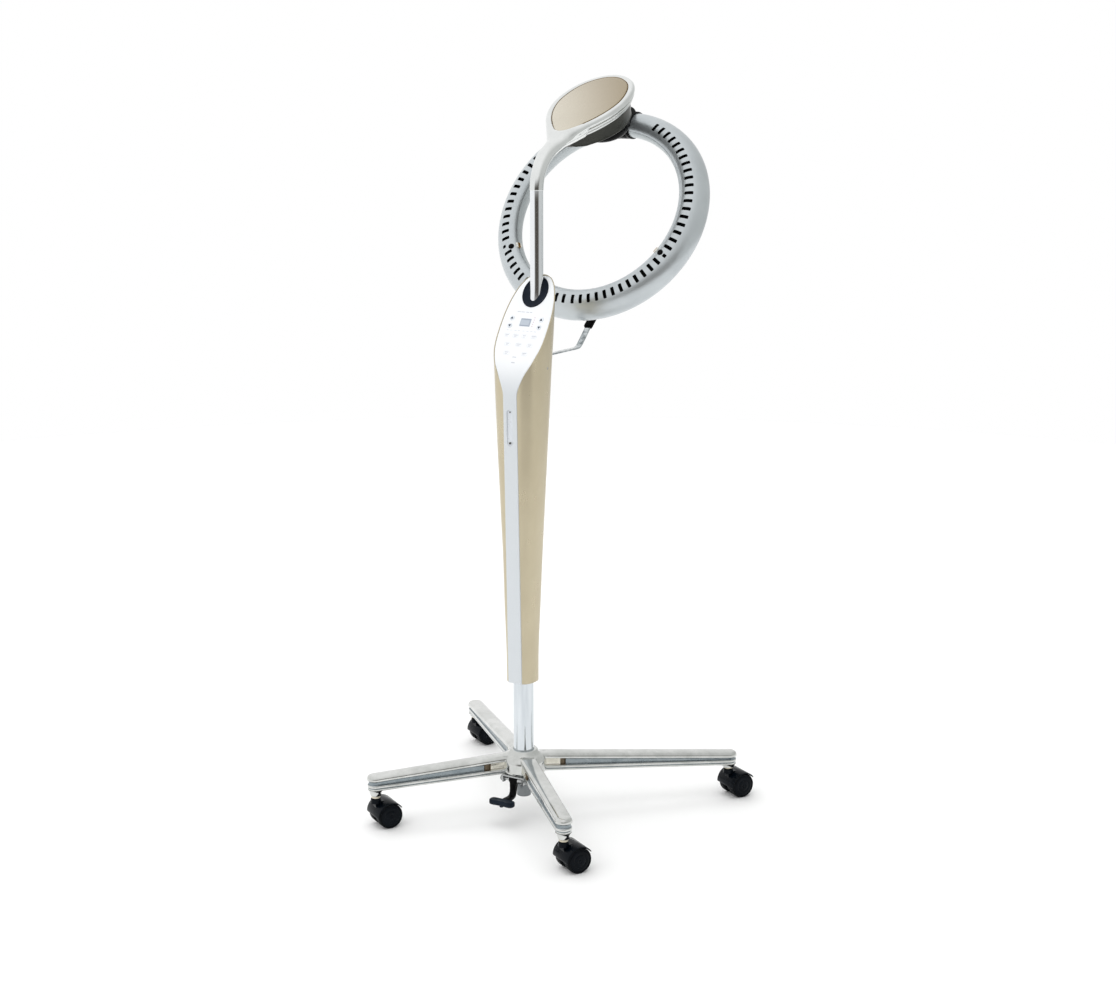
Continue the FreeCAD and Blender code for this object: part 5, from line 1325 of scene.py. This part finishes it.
def neck_field(X, Y, Z):
    """approximate distance to the neck, world millimetres"""
    py, pz = 53.5 + NECK_R - Y, Z - NECK_Z
    ang = np.arctan2(pz, py)
    in_arc = ang < NECK_TURN
    rho = np.hypot(py, pz)
    L1 = NECK_R * ang
    n1 = rho - NECK_R
    ey, ez = 53.5 + NECK_R - NECK_R * math.cos(NECK_TURN), NECK_Z + NECK_R * math.sin(NECK_TURN)
    dy, dz = math.sin(NECK_TURN), math.cos(NECK_TURN)
    L2 = arc_len + (Y - ey) * dy + (Z - ez) * dz
    n2 = -((Y - ey) * dz - (Z - ez) * dy)
    L = np.where(in_arc, L1, L2)
    N = np.where(in_arc, n1, n2)
    Lc = np.clip(L, 0.0, arc_len + 70.0)
    hx = np.interp(Lc, NS_L, NS_X)
    ht = np.interp(Lc, NS_L, NS_T)
    q = np.sqrt((X / hx) ** 2 + (N / ht) ** 2) + 1e-6
    grad = np.sqrt((X / hx ** 2) ** 2 + (N / ht ** 2) ** 2) / q + 1e-6
    d = (q - 1.0) / grad
    d = np.maximum(d, -L)
    d = np.maximum(d, L - (arc_len + 70.0))
    return d


def poly_field(P, px, py):
    """signed distance to a polygon, negative inside"""
    best = np.full(px.shape, 1e9)
    inside = np.zeros(px.shape, bool)
    n = len(P)
    for i in range(n):
        x0, y0 = P[i]
        x1, y1 = P[(i + 1) % n]
        ex, ey = x1 - x0, y1 - y0
        wx, wy = px - x0, py - y0
        t = np.clip((wx * ex + wy * ey) / max(ex * ex + ey * ey, 1e-12), 0, 1)
        best = np.minimum(best, (wx - ex * t) ** 2 + (wy - ey * t) ** 2)
        c1, c2 = (y0 <= py) & (y1 > py), (y0 > py) & (y1 <= py)
        side = ex * wy - ey * wx
        inside ^= (c1 & (side > 0)) | (c2 & (side < 0))
    d = np.sqrt(best)
    return np.where(inside, -d, d)


def net(F, org, step):
    """surface mesh of F = 0 on a regular grid; one vertex in each crossed cell"""
    neg = F < 0
    nx, ny, nz = F.shape
    c = [(i, j, k) for i in (0, 1) for j in (0, 1) for k in (0, 1)]
    cnt = np.zeros((nx - 1, ny - 1, nz - 1), np.int8)
    for i, j, k in c:
        cnt += neg[i:nx - 1 + i, j:ny - 1 + j, k:nz - 1 + k]
    cells = np.argwhere((cnt > 0) & (cnt < 8))
    idx = -np.ones(cnt.shape, np.int64)
    idx[tuple(cells.T)] = np.arange(len(cells))
    val = {o: F[cells[:, 0] + o[0], cells[:, 1] + o[1], cells[:, 2] + o[2]] for o in c}
    acc = np.zeros((len(cells), 3))
    num = np.zeros(len(cells))
    for a in c:
        for ax in range(3):
            if a[ax] == 1:
                continue
            b = tuple(1 if q == ax else a[q] for q in range(3))
            va, vb = val[a], val[b]
            m = (va < 0) != (vb < 0)
            t = np.where(m, va / np.where(m, va - vb, 1.0), 0.0)
            p = np.tile(np.array(a, float), (len(cells), 1))
            p[:, ax] += t
            acc[m] += p[m]
            num[m] += 1
    pts = (cells + acc / num[:, None]) * step + np.array(org)
    faces = []
    for ax in range(3):
        o1, o2 = [q for q in range(3) if q != ax]
        sl0 = [slice(None)] * 3
        sl1 = [slice(None)] * 3
        sl0[ax], sl1[ax] = slice(0, -1), slice(1, None)
        cr_ = neg[tuple(sl0)] != neg[tuple(sl1)]
        E = np.argwhere(cr_)
        E = E[(E[:, o1] > 0) & (E[:, o2] > 0) & (E[:, o1] < F.shape[o1] - 1) & (E[:, o2] < F.shape[o2] - 1)]
        start = neg[tuple(E.T)]
        quad = []
        for da, db in ((-1, -1), (0, -1), (0, 0), (-1, 0)):
            q = E.copy()
            q[:, o1] += da
            q[:, o2] += db
            quad.append(idx[tuple(q.T)])
        Q = np.stack(quad, 1)
        good = (Q >= 0).all(1)
        Q, start = Q[good], start[good]
        sw = start if ax != 1 else ~start
        Q[~sw] = Q[~sw][:, ::-1]
        faces.append(Q)
    return pts, np.vstack(faces)


STEP = 1.0
xs = np.arange(-74.0, 74.01, STEP)
ss_ = np.arange(-276.0, -58.0, STEP)
zs_ = np.arange(-98.0, 5.01, STEP)
# distance of each plan point from the head's outline
PX, PS = np.meshgrid(xs, ss_, indexing="ij")
far = PS < -175.0
D2 = np.full(PX.shape, 80.0)
msk = ~far
D2[msk] = poly_field([tuple(p) for p in BASEC[::2]], PX[msk], PS[msk])
prof_poly = [(d, h) for h, d in RIM] + [(-9.0, 24.6), (-9.0, 3.5), (0.9, 3.5)]
tab_d = np.linspace(-60, 90, 1501)
F = np.zeros((len(xs), len(ss_), len(zs_)), np.float32)
for kz, zl in enumerate(zs_):
    h = -zl
    row = poly_field(prof_poly, tab_d, np.full(tab_d.shape, h))
    rimd = np.interp(D2, tab_d, row)
    Yw = 254.0 + PS * ch - zl * sh
    Zw = 1380.0 + PS * sh + zl * ch
    nd = neck_field(PX, Yw, Zw)
    # keep the neck out of the plate's seat
    seat = np.maximum(D2 - 0.9, h - 3.5)
    nd = np.maximum(nd, -seat)
    K_ = 17.0
    hh = np.clip(0.5 + 0.5 * (rimd - nd) / K_, 0, 1)
    both = rimd * (1 - hh) + nd * hh - K_ * hh * (1 - hh)
    both = np.maximum(both, -seat)
    fade = np.clip((nd - (K_ - 5.0)) / 4.0, 0, 1)
    both = both + 0.30 * fade
    # leave the rim's own body out
    both = np.maximum(both, -(rimd + 1.6))
    both = np.maximum(both, PS + 62.0)
    F[:, :, kz] = both
pts, quads = net(F, (xs[0], ss_[0], zs_[0]), STEP)
# a light pass of smoothing keeps the satin face free of grid marks
nb = np.zeros((len(pts), 3))
ct_ = np.zeros(len(pts))
ea = np.concatenate([quads[:, [0, 1]], quads[:, [1, 2]], quads[:, [2, 3]], quads[:, [3, 0]]])
for lam in (0.5, -0.52, 0.5, -0.52, 0.5, -0.52):
    nb[:] = 0
    ct_[:] = 0
    np.add.at(nb, ea[:, 0], pts[ea[:, 1]])
    np.add.at(nb, ea[:, 1], pts[ea[:, 0]])
    np.add.at(ct_, ea[:, 0], 1)
    np.add.at(ct_, ea[:, 1], 1)
    pts = pts + lam * (nb / np.maximum(ct_, 1)[:, None] - pts)
g = Geo()
g.v = list(rim_g.v)
g.f = list(rim_g.f)
g.m = list(rim_g.m)
base_i = g.verts([tuple(p) for p in pts], HEAD)
for q in quads:
    g.face([base_i + int(i) for i in q], 0)
make("head_casting_satin", g, [SATIN, RIM_GROOVE_REFLECTION], "column", ["head_casting"], sharp=50)

# inlay plate, slightly domed, and its trim
g = Geo()
rings = [off(-0.15, 3.4), off(-0.05, 0.6), off(-0.05, 0.1), off(-0.25, -0.45), off(-0.7, -0.78), off(-1.4, -0.95)]
cx0, cy0 = 0.0, -12.0
for f in (0.94, 0.88, 0.8, 0.7, 0.6, 0.5, 0.4, 0.3, 0.2, 0.1, 0.03):
    rings.append([(cx0 + (BASEC[i, 0] - NRM[i, 0] * 1.4 - cx0) * f, cy0 + (BASEC[i, 1] - NRM[i, 1] * 1.4 - cy0) * f, 0.95 + 1.9 * (1 - f * f)) for i in range(NC_)])
g.loft(rings, HEAD, 0, caps=(True, True))
make("inlay_plate_domed", g, [INLAYM], "column", ["inlay_plate"], sharp=50)
g = Geo()
g.loft([off(-0.04, 3.3), off(-0.04, -0.5), off(0.1, -0.95), off(0.4, -1.15), off(0.7, -1.0), off(0.88, -0.5), off(0.9, 0.0), off(0.9, 3.3)], HEAD, 0, wrap=True)
make("inlay_trim_line", g, [GOLD], "column", ["inlay_trim"], sharp=60)

# lower housing: a skirt whose foot rises towards the neck, closed by a pan
HP = [(-150, 25.5), (-129.5, 26.5), (-116, 40.0), (-97, 47.5), (-60, 53.0), (-20, 56.5), (2, 57.8), (8, 58.0), (140, 58.0)]


def foot(s):
    for (s0, h0), (s1, h1) in zip(HP, HP[1:]):
        if s <= s1:
            return lerp(h0, h1, smooth(s, s0, s1) * 0.35 + 0.65 * (s - s0) / (s1 - s0))
    return 58.0


def skirt_off(h):
    return float(np.interp(h, [24.6, 30, 46, 56.5, 58], [-0.2, -0.6, -2.6, -4.6, -5.2]))


g = Geo()
rings = []
lv = [0.0, 0.06, 0.15, 0.28, 0.42, 0.56, 0.7, 0.82, 0.9]
for t in lv:
    ring = []
    for i in range(NC_):
        hf = foot(BASEC[i, 1])
        h = 24.5 + max(hf - 24.5 - 3.2, 0.0) * t / 0.9
        d = skirt_off(h)
        ring.append((BASEC[i, 0] + NRM[i, 0] * d, BASEC[i, 1] + NRM[i, 1] * d, -h))
    rings.append(ring)
for dh, dd in ((2.9, 0.25), (2.5, 0.75), (1.7, 0.95), (0.9, 0.8), (0.35, 0.2), (0.1, -0.9), (0.0, -2.6)):
    ring = []
    for i in range(NC_):
        hf = foot(BASEC[i, 1])
        room = min(max((hf - 24.5) / 12.0, 0.0), 1.0)
        h = hf - dh * room
        d = skirt_off(h) + dd * room
        ring.append((BASEC[i, 0] + NRM[i, 0] * d, BASEC[i, 1] + NRM[i, 1] * d, -h))
    rings.append(ring)
last = rings[-1]
for f in (0.92, 0.8, 0.65, 0.5, 0.35, 0.2, 0.05):
    ring = []
    for x, s, z in last:
        s2 = 10.0 + (s - 10.0) * f
        ring.append((x * f, s2, -min(foot(s2) - 0.2, 57.9)))
    rings.append(ring)
g.loft(rings, HEAD, 0, caps=(True, True))
make("lower_housing_skirt", g, [CHARC], "column", ["lower_housing"], sharp=50)

# ------------------------------------------------------------------ ring
RA, RB, RR = 30.6, 25.0, 199.3
REAR_B = 21.3
cs_, sn_ = math.cos(SKEW), math.sin(SKEW)


def ring_pt(theta, psi, a=RA, b=RB):
    # the rear half of the section is flatter than the front half
    """theta round the ring from the top, psi round its section: 0 outward end, pi/2 front, pi inward end"""
    if math.sin(psi) < 0:
        b -= RB - REAR_B
    r = RR + a * math.cos(psi) * cs_ + b * math.sin(psi) * sn_
    z = -a * math.cos(psi) * sn_ + b * math.sin(psi) * cs_
    t = theta + PI / 2
    return (r * math.cos(t), r * math.sin(t), z)


AMP = math.hypot(RA * cs_, RB * sn_)
PH0 = math.atan2(RB * sn_, RA * cs_)


def psi_of_r(r):
    return PH0 + math.acos(max(min((r - RR) / AMP, 1.0), -1.0))


PV0, PV1 = psi_of_r(210.4), psi_of_r(186.4)      # outer and inner limits of the slotted band
ND = 5
NV = 12
half = math.radians(2.47)
SLOT_A = [24.0 + 4.94 * k for k in range(32)]


def patch(theta0, slot):
    """faces of one five-degree sector of the slotted band"""
    us = [theta0 - half + 2 * half * i / ND for i in range(ND + 1)]
    vs = [PV0 + (PV1 - PV0) * j / NV for j in range(NV + 1)]
    if slot is None:
        rows = [[("p", u, v) for u in us] for v in vs]
        return rows, None
    border = [(u, vs[0]) for u in us] + [(us[-1], v) for v in vs[1:]] + [(u, vs[-1]) for u in us[-2::-1]] + [(us[0], v) for v in vs[-2:0:-1]]
    n = len(border)
    r0, r1 = slot
    hw, rc = 3.5, 1.7
    # matching loop on a rounded rectangle, by walking its outline in the same order
    inner = []
    W, H = hw, (r1 - r0) / 2
    cr_ = (r0 + r1) / 2

    def corner(sx, sy, t):
        a = t * PI / 2
        return (sx * (W - rc + rc * math.sin(a)), cr_ + sy * (H - rc + rc * math.cos(a)))
    # outer side, ND + 1 points from -u to +u
    inner += [corner(-1, 1, 0.5), corner(-1, 1, 0.25)]
    inner += [(-(W - rc), r1)] if ND == 5 else []
    inner += [((W - rc), r1), corner(1, 1, 0.25), corner(1, 1, 0.5)]
    side = [corner(1, 1, 0.75)] + [(W, r1 - rc - (2 * H - 2 * rc) * i / (NV - 4)) for i in range(NV - 3)] + [corner(1, -1, 0.75)]
    inner += side
    inner += [corner(1, -1, 0.5), corner(1, -1, 0.25), ((W - rc), r0), (-(W - rc), r0), corner(-1, -1, 0.25), corner(-1, -1, 0.5)]
    inner += [(-x, y) for x, y in reversed(side)]
    assert len(inner) == n, (len(inner), n)
    loop_in = []
    for tx, r in inner:
        R = math.hypot(r, tx)
        loop_in.append((theta0 + math.atan2(tx, r), psi_of_r(R)))
    mid = [((b[0] * 0.45 + i[0] * 0.55), (b[1] * 0.45 + i[1] * 0.55)) for b, i in zip(border, loop_in)]
    near = [((b[0] * 0.1 + i[0] * 0.9), (b[1] * 0.1 + i[1] * 0.9)) for b, i in zip(border, loop_in)]
    return None, (border, mid, near, loop_in)


def shell(name, mats, node, psis, band, replaces, a=RA, b=RB, wall=2.2):
    """closed shell of the ring between two parting lines; the inside follows the outside at the wall's distance"""
    verts, index, faces, mi = [], {}, [], []

    def vid(u, v, layer):
        key = (round((u % (2 * PI)) * 1e6) % round(2 * PI * 1e6), round(v * 1e6), layer)
        if key not in index:
            index[key] = len(verts)
            if layer == 0:
                verts.append(ring_pt(u, v, a, b))
            elif layer == 1:
                verts.append(ring_pt(u, v, a - wall, b - wall))
            else:
                verts.append(ring_pt(u, v, a - 0.35, b - 0.35))
        return index[key]
    quads_ = []
    cols = [-21.53 + 43.06 * i / 43 for i in range(43)]
    for c in SLOT_A:
        cols += [c - 2.47 + 4.94 * i / ND for i in range(ND)]
    cols.append(179.61)
    for c in reversed(SLOT_A):
        cols += [360.0 - c - 2.47 + 4.94 * i / ND for i in range(ND)]
    cols = [math.radians(c) for c in cols]
    nU = len(cols)

    def U(i):
        return cols[i % nU]
    for v0, v1 in zip(psis, psis[1:]):
        inband = band and v0 >= PV0 - 1e-9 and v1 <= PV1 + 1e-9
        for i in range(nU):
            if inband and not (i < 43 or i == 43 + 32 * ND):
                continue
            quads_.append([(U(i), v0), (U(i + 1), v0), (U(i + 1), v1), (U(i), v1)])
    holes = []
    if band:
        for ang in SLOT_A + [360.0 - c for c in reversed(SLOT_A)]:
            slot = (190.05, 207.55)
            if abs(min(ang, 360.0 - ang) - 117.86) < 0.5:
                slot = (200.2, 207.55)
            rows, ringed = patch(math.radians(ang), slot)
            for A_, B_ in zip(ringed, ringed[1:]):
                n = len(A_)
                for i in range(n):
                    k = (i + 1) % n
                    quads_.append([A_[i], A_[k], B_[k], B_[i]])
            holes.append(ringed[-1])
    # the inside and the slot walls take the second material, painted near-black shade
    for q in quads_:
        faces.append([vid(u, v, 0) for u, v in q])
        mi.append(0)
        faces.append([vid(u, v, 1) for u, v in reversed(q)])
        mi.append(1)
    for hloop in holes:
        n = len(hloop)
        for i in range(n):
            k = (i + 1) % n
            faces.append([vid(*hloop[i], 0), vid(*hloop[k], 0), vid(*hloop[k], 1), vid(*hloop[i], 1)])
            mi.append(1)
    for v in (psis[0], psis[-1]):
        for i in range(nU):
            faces.append([vid(U(i), v, 0), vid(U(i + 1), v, 0), vid(U(i + 1), v, 1), vid(U(i), v, 1)])
            mi.append(0)
    g = Geo()
    g.verts(verts, RING)
    g.f, g.m = faces, mi
    return make(name, g, mats, node, replaces, sharp=44)


psF = [0.012, 0.05] + [PV0 * i / 12 for i in range(1, 12)] + [PV0]
psF += [PV0 + (PV1 - PV0) * j / NV for j in range(1, NV)] + [PV1] + [PV1 + (PI - 0.012 - PV1) * i / 8 for i in range(1, 8)] + [PI - 0.05, PI - 0.012]
psF = sorted(psF)
shell("ring_front_slotted", [RINGP, INSIDE_SHADE], "ring", psF, True, ["ring_front_shell"])
psR = [PI + 0.012, PI + 0.05] + [PI + PI * i / 34 for i in range(1, 34)] + [2 * PI - 0.05, 2 * PI - 0.012]
psR = sorted(psR)
shell("ring_rear_plain", [RINGR, INSIDE_SHADE], "ring", psR, False, ["ring_rear_shell"])

# sensors: dark domes with a small contact block on the inner face beside each
def ring_frame(theta, psi, a=RA, b=RB):
    p = Vector(ring_pt(theta, psi, a, b))
    e1 = (Vector(ring_pt(theta, psi + 0.02, a, b)) - Vector(ring_pt(theta, psi - 0.02, a, b))).normalized()
    e2 = (Vector(ring_pt(theta + 0.01, psi, a, b)) - Vector(ring_pt(theta - 0.01, psi, a, b))).normalized()
    n = e1.cross(e2)
    out = p - Vector((RR * math.cos(theta + PI / 2), RR * math.sin(theta + PI / 2), 0))
    if n.dot(out) < 0:
        n = -n
    return RING @ basis(p, e1, n.cross(e1), n)


g = Geo()
for ang, rs in ((119.8, 188.8), (360.0 - 117.7, 192.2)):
    th0 = math.radians(ang)
    M = ring_frame(th0, psi_of_r(rs))
    g.revolve([(0, -6.0), (5.9, -6.0), (5.9, 0.35), (5.7, 0.7), (5.1, 0.8), (4.9, 0.5), (4.7, 0.5), (4.6, 1.4), (4.2, 2.3), (3.2, 3.0), (1.6, 3.3), (0, 3.4)], M, 40, 0)
    for dpsi, w, h, mi in ((0.26, 2.0, 5.6, 2), (0.43, 2.6, 5.4, 1), (0.60, 1.8, 4.8, 2)):
        Mb = ring_frame(th0, psi_of_r(rs - 5.0) + dpsi)
        g.loft([[(x, y, z) for x, y in rrect(w - d, h - d, 0.8, 4)] for z, d in ((-1.8, 0), (2.2, 0), (2.6, 0.3))], Mb, mi, caps=(True, True))
make("ring_sensor_domes", g, [BLACKP, BRASS, NYLON], "ring", ["ring_sensors"], sharp=44)

# ------------------------------------------------------------------ ring carrier
AXH = HEAD @ Matrix.Translation((0, 36.0, 0))
g = Geo()
g.revolve([(0, -58.6), (41.8, -58.6), (43.6, -59.1), (45.2, -60.2), (46.0, -61.8), (46.0, -66.0), (45.5, -66.7), (44.9, -67.0), (44.9, -67.8), (45.5, -68.1), (45.9, -68.8),
           (46.0, -73.0), (45.3, -78.0), (43.6, -83.4), (41.0, -87.6), (37.6, -90.8), (33.0, -93.0), (27.0, -94.0), (0, -94.0)], AXH, 112)
for i in range(30):
    a = 2 * PI * i / 30
    M = AXH @ Matrix.Rotation(a, 4, "Z")
    g.prism(rrect(0.5, 1.5, 0.4, 3, cx=45.7), -65.6, -62.6, M, 0)
br = catmull([(54.0, 61.5), (76.0, 60.6), (98.0, 63.0), (110.0, 69.5), (119.0, 79.0), (122.5, 92.0), (121.0, 106.0), (114.0, 114.0), (98.0, 108.0), (80.0, 100.0), (62.0, 92.5), (54.0, 88.0)], 4,
             closed=True)
nb_ = len(br)
cxs, cys = sum(p[0] for p in br) / nb_, sum(p[1] for p in br) / nb_
rings = []
for x, k in ((-23.0, 0.80), (-22.8, 0.87), (-22.0, 0.93), (-20.4, 0.975), (-18.0, 1.0), (18.0, 1.0), (20.4, 0.975), (22.0, 0.93), (22.8, 0.87), (23.0, 0.80)):
    rings.append([(x, cxs + (s - cxs) * k, -(cys + (h - cys) * k)) for s, h in br])
g.loft(rings, HEAD, 0, caps=(True, True))
rings = []
TH = math.radians(6.2)
for t, d in ((-1, 0.25), (-1, 2.0), (-0.98, 2.6), (-0.94, 3.05), (-0.88, 3.2), (-0.66, 3.2), (-0.62, 2.7), (-0.55, 2.7), (-0.51, 3.2), (0.51, 3.2), (0.55, 2.7), (0.62, 2.7),
             (0.66, 3.2), (0.88, 3.2), (0.94, 3.05), (0.98, 2.6), (1, 2.0), (1, 0.25)):
    rings.append([ring_pt(TH * t, 2 * PI * j / 96, RA + d, RB + d) for j in range(96)])
for t in (0.5, 0, -0.5):
    rings.append([ring_pt(TH * t, 2 * PI * j / 96, RA + 0.12, RB + 0.12) for j in range(96)])
g.loft(rings, RING, 0, wrap=True)
# clamp screws on the collar
for sg in (-1, 1):
    p = Vector(ring_pt(sg * math.radians(2.6), 1.15, RA + 3.2, RB + 3.2))
    q_ = Vector(ring_pt(sg * math.radians(2.6), 1.15, RA + 5.2, RB + 5.2))
    ez_ = (q_ - p).normalized()
    ex_ = ez_.orthogonal().normalized()
    ey_ = ez_.cross(ex_)
    g.revolve([(0, -1.2), (2.4, -1.2), (2.4, 0.4), (2.0, 0.8), (1.1, 0.85), (0.9, 0.1), (0, 0.05)], RING @ basis(p, ex_, ey_, ez_), 24, 1)
make("ring_carrier_black", g, [BLACKP, STEEL], "ring", ["ring_carrier"], sharp=44)

# ------------------------------------------------------------------ stage
me = bpy.data.meshes.new("floor")
me.from_pydata([(4.4 * math.cos(2 * PI * i / 96), 4.4 * math.sin(2 * PI * i / 96), 0) for i in range(96)], [], [tuple(range(96))])
floor = bpy.data.objects.new("floor", me)
bpy.context.scene.collection.objects.link(floor)
fm = bpy.data.materials.new("studio_floor")
fm.use_nodes = True
fb = fm.node_tree.nodes["Principled BSDF"]
fb.inputs["Roughness"].default_value = 0.6
fb.inputs["Specular IOR Level"].default_value = 0.2
fn = fm.node_tree.nodes.new("ShaderNodeTexNoise")
fn.inputs["Scale"].default_value = 0.6
fr_ = fm.node_tree.nodes.new("ShaderNodeValToRGB")
fr_.color_ramp.elements[0].color = lin((246, 246, 246))
fr_.color_ramp.elements[1].color = lin((250, 250, 250))
fm.node_tree.links.new(fn.outputs["Fac"], fr_.inputs["Fac"])
fm.node_tree.links.new(fr_.outputs["Color"], fb.inputs["Base Color"])
me.materials.append(fm)

world = bpy.data.worlds.new("studio")
bpy.context.scene.world = world
world.use_nodes = True
nt = world.node_tree
nt.nodes.clear()
wout = nt.nodes.new("ShaderNodeOutputWorld")
bg = nt.nodes.new("ShaderNodeBackground")
bg2 = nt.nodes.new("ShaderNodeBackground")
mixs = nt.nodes.new("ShaderNodeMixShader")
lp = nt.nodes.new("ShaderNodeLightPath")
wtc = nt.nodes.new("ShaderNodeTexCoord")
flat = nt.nodes.new("ShaderNodeVectorMath")
flat.operation = "MULTIPLY"
flat.inputs[1].default_value = (1.0, 1.0, 0.0)
unit = nt.nodes.new("ShaderNodeVectorMath")
unit.operation = "NORMALIZE"
dot = nt.nodes.new("ShaderNodeVectorMath")
dot.operation = "DOT_PRODUCT"
dv = Vector((0.52, -0.85, 0.0)).normalized()
dot.inputs[1].default_value = dv
mr = nt.nodes.new("ShaderNodeMapRange")
mr.interpolation_type = "SMOOTHSTEP"
mr.inputs["From Min"].default_value = math.cos(math.radians(46))
mr.inputs["From Max"].default_value = math.cos(math.radians(20))
sep = nt.nodes.new("ShaderNodeSeparateXYZ")
up_ = nt.nodes.new("ShaderNodeMapRange")
up_.interpolation_type = "SMOOTHSTEP"
up_.inputs["From Min"].default_value = 0.0
up_.inputs["From Max"].default_value = 0.5
up_.inputs["To Min"].default_value = 1.0
up_.inputs["To Max"].default_value = 0.0
both_ = nt.nodes.new("ShaderNodeMath")
both_.operation = "MULTIPLY"
side_dot = nt.nodes.new("ShaderNodeVectorMath")
side_dot.operation = "DOT_PRODUCT"
side_dot.inputs[1].default_value = Vector((0.85, 0.52, 0.0)).normalized()
side_mr = nt.nodes.new("ShaderNodeMapRange")
side_mr.interpolation_type = "SMOOTHSTEP"
side_mr.inputs["From Min"].default_value = -0.1
side_mr.inputs["From Max"].default_value = 0.7
side = nt.nodes.new("ShaderNodeMix")
side.data_type = "RGBA"
side.inputs["A"].default_value = (1.0, 1.0, 1.0, 1)
side.inputs["B"].default_value = (0.64, 0.65, 0.64, 1)
mix = nt.nodes.new("ShaderNodeMix")
mix.data_type = "RGBA"
mix.inputs["B"].default_value = (0.09, 0.082, 0.07, 1)
nt.links.new(wtc.outputs["Generated"], flat.inputs[0])
nt.links.new(flat.outputs["Vector"], unit.inputs[0])
nt.links.new(unit.outputs["Vector"], dot.inputs[0])
nt.links.new(wtc.outputs["Generated"], sep.inputs[0])
nt.links.new(wtc.outputs["Generated"], side_dot.inputs[0])
nt.links.new(side_dot.outputs["Value"], side_mr.inputs["Value"])
nt.links.new(side_mr.outputs["Result"], side.inputs["Factor"])
nt.links.new(side.outputs["Result"], mix.inputs["A"])
nt.links.new(dot.outputs["Value"], mr.inputs["Value"])
nt.links.new(sep.outputs["Z"], up_.inputs["Value"])
nt.links.new(mr.outputs["Result"], both_.inputs[0])
nt.links.new(up_.outputs["Result"], both_.inputs[1])
nt.links.new(both_.outputs["Value"], mix.inputs["Factor"])
nt.links.new(mix.outputs["Result"], bg.inputs["Color"])
bg.inputs["Strength"].default_value = 1.04
bg2.inputs["Color"].default_value = (1, 1, 1, 1)
bg2.inputs["Strength"].default_value = 1.0
nt.links.new(lp.outputs["Is Camera Ray"], mixs.inputs["Fac"])
nt.links.new(bg.outputs["Background"], mixs.inputs[1])
nt.links.new(bg2.outputs["Background"], mixs.inputs[2])
nt.links.new(mixs.outputs["Shader"], wout.inputs["Surface"])


def area(name, loc, target, size, power, colour=(1, 1, 1)):
    ld = bpy.data.lights.new(name, "AREA")
    ld.shape = "RECTANGLE"
    ld.size, ld.size_y = size
    ld.energy = power
    ld.color = colour
    lo = bpy.data.objects.new(name, ld)
    bpy.context.scene.collection.objects.link(lo)
    lo.location = loc
    d = Vector(target) - Vector(loc)
    lo.rotation_euler = d.to_track_quat("-Z", "Y").to_euler()
    return lo


sun = bpy.data.lights.new("top_sky", "SUN")
sun.energy = 1.0
sun.angle = math.radians(70)
so = bpy.data.objects.new("top_sky", sun)
bpy.context.scene.collection.objects.link(so)
so.visible_glossy = False
so.rotation_euler = (math.radians(8), math.radians(-10), 0)
bpy.context.scene.view_settings.view_transform = "Standard"
bpy.context.scene.view_settings.look = "None"
